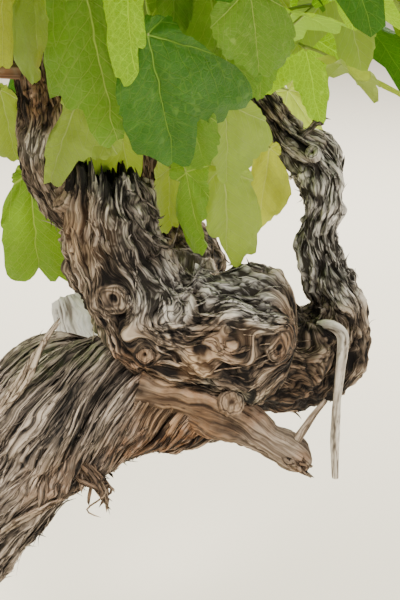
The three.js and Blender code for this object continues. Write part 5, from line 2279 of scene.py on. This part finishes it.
STUBS = (
    Stub((314, -53, 404), (0.1, -0.9, 0.42), 9.5, 10), Stub((249, -44, 442), (-0.2, -0.95, 0.2), 6.5, 9, 5),
    Stub((196, -8, 556), (-0.75, -0.5, 0.45), 14, 18), Stub((164, -10, 656), (-1, -0.15, 0.06), 5.5, 46, 2),
    Stub((388, 122, 558), (-0.3, -0.75, 0.55), 6, 8, 3),
)
SHREDS = (
    Shred(((126, -48, 384), (146, -46, 414), (166, -40, 446), (181, -34, 470)), 4.5, 5, 3.0, 0.95),
    Shred(((200, -42, 350), (208, -44, 334), (212, -40, 318), (214, -38, 302)), 2.4, 16, 7.0, 0.45),
    Shred(((120, -46, 282), (144, -48, 298), (168, -48, 314), (190, -44, 326)), 4.0, 7, 3.5, 0.9),
    Shred(((236, -22, 548), (250, -22, 530), (262, -20, 520), (272, -18, 524)), 2.0, 12, 7.0, 0.35),
    Shred(((238, -14, 580), (246, -14, 560), (252, -12, 545), (262, -10, 538)), 2.0, 8, 5.0, 0.3),
    Shred(((168, -16, 636), (160, -14, 618), (158, -12, 600), (152, -14, 588)), 2.6, 7, 5.0, 0.9),
    Shred(((378, 128, 574), (386, 126, 582), (392, 126, 588), (396, 128, 592)), 2.4, 12, 3.0, 0.3),
    Shred(((352, -52, 364), (362, -56, 358), (370, -58, 351), (377, -58, 343)), 4.5, 14, 4.0, 0.45),
    Shred(((188, -44, 360), (200, -46, 342), (210, -44, 324), (215, -40, 300)), 3.6, 12, 5.0, 0.45),
)


# How far apart loose fibres lie on the grain's coordinates, so that no two look alike, in mm
FIBRE_APART = 5
# A stub's rings: each one's share of the radius, its height over the cut in lengths, and its light value
STUB_PROFILE = (
    (1.15, -1.0, 0.5), (1.06, -0.5, 0.45), (1.02, -0.1, 0.4), (1.0, 0.0, 0.7), (0.93, 0.05, 0.5),
    (0.86, 0.0, 0.15), (0.78, 0.02, 0.6), (0.62, 0.08, 0.5), (0.46, 0.04, 0.66), (0.3, 0.0, 0.5),
    (0.18, -0.03, 0.3), (0.01, -0.05, 0.1),
)
# How many of the rings are bark, outside the pale face
STUB_FLANK = 6


@dataclass(frozen=True)
class Trim:
    """Cut spurs and loose fibres that stand off the bark."""

    stubs: tuple[Stub, ...] = STUBS
    shreds: tuple[Shred, ...] = SHREDS
    sides: int = 40
    steps: int = 12

    def stub_rings(self, stub: Stub) -> tuple[Array, Array]:
        """A stub's rings: its flank, a rounded rim, and a face that dips to the pith.

        Args:
            stub: The stub.

        Returns:
            The points, (rings, sides, 3), and each ring's light value.
        """
        profile = np.array(STUB_PROFILE)
        axis = unit(np.array(stub.towards, float))
        front = unit(np.cross(axis, UP))
        side = np.cross(axis, front)
        angle = np.linspace(0, 2 * np.pi, self.sides, endpoint=False)
        circle = front * np.cos(angle)[:, None] + side * np.sin(angle)[:, None]
        uneven = 1 + 0.12 * lattice_noise(circle * 2.5 + np.array(stub.place), 81)
        pith = np.where(profile[:, 0] < 0.25, stub.pith / stub.length, 0)
        lift = (profile[:, 1] - pith) * stub.length
        top = np.array(stub.place, float) + axis * stub.length
        rings = top + (profile[:, 0] * stub.radius)[:, None, None] * (circle * uneven[:, None])
        rings = rings + lift[:, None, None] * axis
        rough = lattice_noise(rings / 3.5, 82)[..., None]
        return rings + axis * rough * 1.3, np.broadcast_to(profile[:, 2:3], rings.shape[:2])

    def cut_spurs(self, bare: Material) -> None:
        """Makes the stubs one piece.

        Args:
            bare: The bare wood's material.
        """
        rings, values = map(np.stack, zip(*[self.stub_rings(stub) for stub in self.stubs]))
        tints = paint(rings)
        face = (np.arange(rings.shape[1]) >= STUB_FLANK)[None, :, None] * np.ones(rings.shape[:3])
        tints[Tint.PALE.value] = np.maximum(tints[Tint.PALE.value], 0.35 * face)
        middle = np.array([stub.place for stub in self.stubs], float)[:, None, None]
        axis = unit(np.array([stub.towards for stub in self.stubs], float))[:, None, None]
        lift = np.sum((rings - middle) * axis, axis=-1, keepdims=True)
        flow = (rings - middle - axis * lift) + UP * lift
        attributes = {"flow": flow * MM, "relief": values, **tints}
        sheet = Sheet()
        sheet.add(rings, True, attributes, tile_map(len(rings), rings.shape[1], self.sides + 1))
        sheet.piece("cut_spurs", [bare], "bark")

    def loose_fibres(self, finish: Material) -> None:
        """Makes the shreds one piece, each fibre beside its shred's path and at its own place in the grain.

        Args:
            finish: The bark's material.
        """
        random = np.random.default_rng(77)
        paths, widths, tones = [], [], []
        t = np.linspace(0, 1, self.steps)
        for shred in self.shreds:
            for _ in range(shred.strands):
                points = len(shred.path)
                shift = random.normal(0, shred.spread, (points, 3)) * np.linspace(0.5, 1, points)[:, None]
                line = Limb(tuple(tuple([*point, 1.0]) for point in np.array(shred.path) + shift))
                paths.append(line.curve(t * random.uniform(0.6, 1))[:, :3])
                widths.append(shred.width * random.uniform(0.5, 1.2) * (1 - (2 * t - 1) ** 4) ** 0.5 + 0.2)
                tones.append(np.clip(shred.tone * random.uniform(0.7, 1.2), 0, 1))
        centre = np.array(paths)
        out = unit(np.array([0.0, -1.0, 0.3]) + 0.3 * random.normal(size=centre.shape))
        grids = ribbons(centre, out, np.array(widths))
        tone = np.broadcast_to(np.array(tones)[:, None, None], grids.shape[:3])
        run = np.cumsum(np.linalg.norm(np.gradient(centre, axis=1), axis=-1), axis=1)
        beside = np.array([a for a, _ in SECTION]) * np.array(widths)[..., None]
        beside = beside + FIBRE_APART * np.arange(len(grids))[:, None, None]
        flow = np.stack(
            [beside, np.zeros_like(beside), np.broadcast_to(run[..., None], beside.shape)], axis=-1
        )
        attributes = {"flow": flow * MM, "relief": tone, **paint(grids)}
        sheet = Sheet()
        sheet.add(grids, True, attributes, tile_map(len(grids), self.steps, len(SECTION) + 1))
        sheet.piece("loose_fibres", [finish], "bark")


WOOD_FINISHES = (
    WoodFinish(
        "old_bark", (17, 12, 9), (116, 99, 82), (190, 172, 150), 1150, 1.0, streaks=0.5, shortness=1.2
    ),
    WoodFinish("trunk_bark", (18, 15, 12), (122, 109, 96), (194, 178, 161), 950, 0.9, 0.88, 0.45, 0.4),
    WoodFinish("dead_wood", (52, 41, 32), (114, 98, 82), (174, 156, 136), 650, 0.8, 0.8, 0.5, 0.3, 0.5),
    WoodFinish(
        "bleached_wood", (128, 118, 105), (236, 230, 218), (252, 250, 244), 900, 0.6, 0.8, 0.3, 1.2, 0.65
    ),
    WoodFinish("grey_wood", (84, 74, 64), (186, 176, 162), (232, 226, 215), 900, 0.6, 0.8, 0.3, 0.3, 0.6),
)
# Limbs that have a finish of their own
OWN_FINISH = {"back_left_wood": "bleached_wood", "trunk_bark": "trunk_bark", "hook_wood": "grey_wood"}


@dataclass(frozen=True)
class Wood:
    """All the limbs, barked or bare."""

    groups: Groups

    def limbs(self) -> list[BarkedLimb]:
        """The limbs in the order they are built."""
        thick = Grain(
            (28, 240, 14.0), flake=(8, 100, 3.6), fibre=(4, 80, 0.9), twist=(0.024, 350), ledge=0.74
        )
        gnarled = Grain(
            (32, 90, 8.0), (32, 76, 21.0), (11, 30, 4.5), (16, 44, 3.0), (4, 30, 0.7), (30, 5.0),
            (0.24, 0.08), (6, 24), ledge=0.76,
        )
        headed = replace(gnarled, drawn_out=(150, 0.42))
        slim = Grain(
            (14, 90, 3.5), (14, 70, 5.0), (6, 36, 2.4), (8, 34, 1.6), (3, 34, 0.7), (24, 2.2), (0.24, 0.08),
            (3, 13), ledge=0.7,
        )
        bare = Grain(
            (16, 140, 2.6), (14, 150, 2.4), (7, 110, 1.2), (6, 80, 1.6), (3, 80, 0.7), (20, 2.2),
            (0.14, 0.04), (2, 16), ledge=0.3,
        )
        twig = Grain(
            (6, 40, 0.2), (3, 30, 0.4), (5, 30, 0.2), (4, 20, 0.2), (1.6, 20, 0.12), (12, 0.5), warp=(1, 8),
            ledge=0.2,
        )
        strip = Grain(
            (8, 80, 0.5), (4, 60, 0.8), (4, 50, 0.2), (4, 30, 0.3), (1.5, 30, 0.15), (14, 0.8), warp=(1, 8),
            ledge=0.2,
        )
        pale = "weathered_wood"
        return [
            BarkedLimb(
                "trunk_bark", LIMBS["trunk"], ("trunk",), 330, 260, thick, End.FOOT, strips=2200,
                strip_length=(20, 110), seed=3,
            ),
            BarkedLimb(
                "fist_and_arm_bark", ARM_TO_FIST, ("fist", "arm_left"), 300, 312, headed, End.DOMED,
                End.RAGGED, KNOTS[:5], 480, (10, 50), seed=31, jag=17, slant=0.45,
            ),
            BarkedLimb(
                "spur_left_bark", SPUR_AND_FOOT, ("spur_left",), 150, 84, slim, seed=5, strips=260,
                strip_length=(10, 44),
            ),
            BarkedLimb(
                "dead_spur_wood", replace(LIMBS["dead_spur"], domed=0.1), ("dead_spur",), 150, 110, bare,
                end=End.DOMED, marks=KNOTS[6:], seed=6, slot=pale,
            ),
            BarkedLimb(
                "dead_twig_wood", LIMBS["dead_twig"], ("dead_twig",), 40, 14, twig, seed=7, slot=pale
            ),
            BarkedLimb(
                "right_arm_bark", BASE_TO_ARM, ("right_base", "arm_right"), 330, 150, gnarled, End.BURIED,
                End.RAGGED, KNOTS[5:6], 600, (10, 44), seed=8,
            ),
            BarkedLimb("hook_wood", LIMBS["hook"], ("hook",), 120, 20, strip, seed=9, slot=pale),
            BarkedLimb(
                "arm_back_bark", LIMBS["arm_back"], ("arm_back",), 260, 120, gnarled, seed=10, strips=500,
                strip_length=(12, 50),
            ),
            BarkedLimb(
                "back_left_wood", LIMBS["back_left"], ("back_left",), 70, 70, bare, end=End.BROKEN, seed=12,
                slot=pale,
            ),
            BarkedLimb(
                "arm_far_left_bark", LIMBS["arm_far_left"], ("arm_far_left",), 240, 130, slim, seed=13,
                strips=500, strip_length=(14, 60),
            ),
        ]

    def build(self) -> None:
        """Makes every limb's surface and loose bark."""
        made = {finish.name: finish.material(self.groups) for finish in WOOD_FINISHES}
        for limb in self.limbs():
            finish = made[OWN_FINISH.get(limb.name, "old_bark" if limb.slot == "bark" else "dead_wood")]
            limb.body(finish)
            limb.loose_bark(finish)
        trim = Trim()
        trim.cut_spurs(made["dead_wood"])
        trim.loose_fibres(made["old_bark"])


@dataclass(frozen=True)
class FloorFinish(Finish):
    """Plain pale paper."""

    colour: Triple = (255, 247, 228)

    def shader(self, graph: Graph, groups: Groups) -> Socket:
        """One colour without gloss."""
        return graph.node("BsdfPrincipled", {"Base Color": linear(*self.colour), "Roughness": 0.9}).outputs[0]


# A camera's sensor in mm, and how far it sees in m
SENSOR = 36
FAR_CLIP = 50


@dataclass(frozen=True)
class Studio:
    """A pale floor, soft light from above and behind, and a camera at the photograph's viewing angle."""

    view: View = VIEW
    floor_radius: float = 40.0

    def floor(self) -> None:
        """Makes the pale floor."""
        mesh = bpy.data.meshes.new("floor")
        side = self.floor_radius
        mesh.from_pydata(
            [(-side, -side, 0), (side, -side, 0), (side, side, 0), (-side, side, 0)], [], [(0, 1, 2, 3)]
        )
        mesh.materials.append(FloorFinish("floor_paper").material({}))
        self.placed("floor", mesh)

    @staticmethod
    def placed(name: str, data: bpy.types.ID) -> Object:
        """A new object in the scene that shows a mesh, a light or a camera."""
        made = bpy.data.objects.new(name, data)
        bpy.context.scene.collection.objects.link(made)
        return made

    def lamp(self, name: str, place: Triple, size: float, watts: float, colour: Triple) -> None:
        """A square soft light that points at the plant.

        Args:
            name: Its name.
            place: Where it stands, in metres.
            size: Its side.
            watts: Its strength.
            colour: Its tint.
        """
        light = bpy.data.lights.new(name, "AREA")
        light.size = size
        light.energy = watts
        light.color = colour
        lamp = self.placed(name, light)
        lamp.location = place
        x, y, z = np.array(self.view.target) * MM - np.array(place)
        lamp.rotation_euler = (
            float(np.arctan2(np.hypot(x, y), -z)), 0, float(np.arctan2(y, x) - np.pi / 2),
        )

    def camera(self) -> None:
        """Sets the camera back from the target along its own axis.

        The sensor's longer side takes in the picture's height, so lens / sensor is distance / height seen.
        """
        pitch = np.radians(self.view.pitch)
        back = self.view.distance * np.array([0, -np.cos(pitch), np.sin(pitch)])
        data = bpy.data.cameras.new("camera")
        data.lens = SENSOR * self.view.distance / (self.view.scale * 2 * self.view.middle[1])
        data.sensor_width = SENSOR
        data.clip_end = FAR_CLIP
        camera = self.placed("camera", data)
        camera.location = (np.array(self.view.target) + back) * MM
        camera.rotation_euler = (float(np.pi / 2 - pitch), 0, 0)
        bpy.context.scene.camera = camera

    def build(self) -> None:
        """Makes the floor, lights, sky and camera."""
        self.floor()
        self.lamp("key", (-0.7, -1.7, 2.7), 0.8, 120, (1.0, 0.96, 0.9))
        self.lamp("behind", (0.9, 2.0, 2.4), 1.4, 185, (1.0, 0.97, 0.88))
        self.lamp("fill", (1.8, -2.4, 1.0), 2.5, 44, (0.95, 0.97, 1.0))
        world = bpy.data.worlds.new("sky")
        world.use_nodes = True
        sky = world.node_tree.nodes["Background"].inputs
        sky["Color"].default_value = (1.0, 0.97, 0.93, 1)
        sky["Strength"].default_value = 0.6
        bpy.context.scene.world = world
        self.camera()


def main() -> None:
    """Builds the wood, the foliage and the studio."""
    logging.basicConfig(level=logging.INFO, format="%(message)s")
    groups = {tree.name: tree for tree in (fibre_group(), patina_group(), vein_group())}
    Wood(groups).build()
    Foliage(MASSES, groups).build()
    Studio().build()


if __name__ == "__main__":
    main()
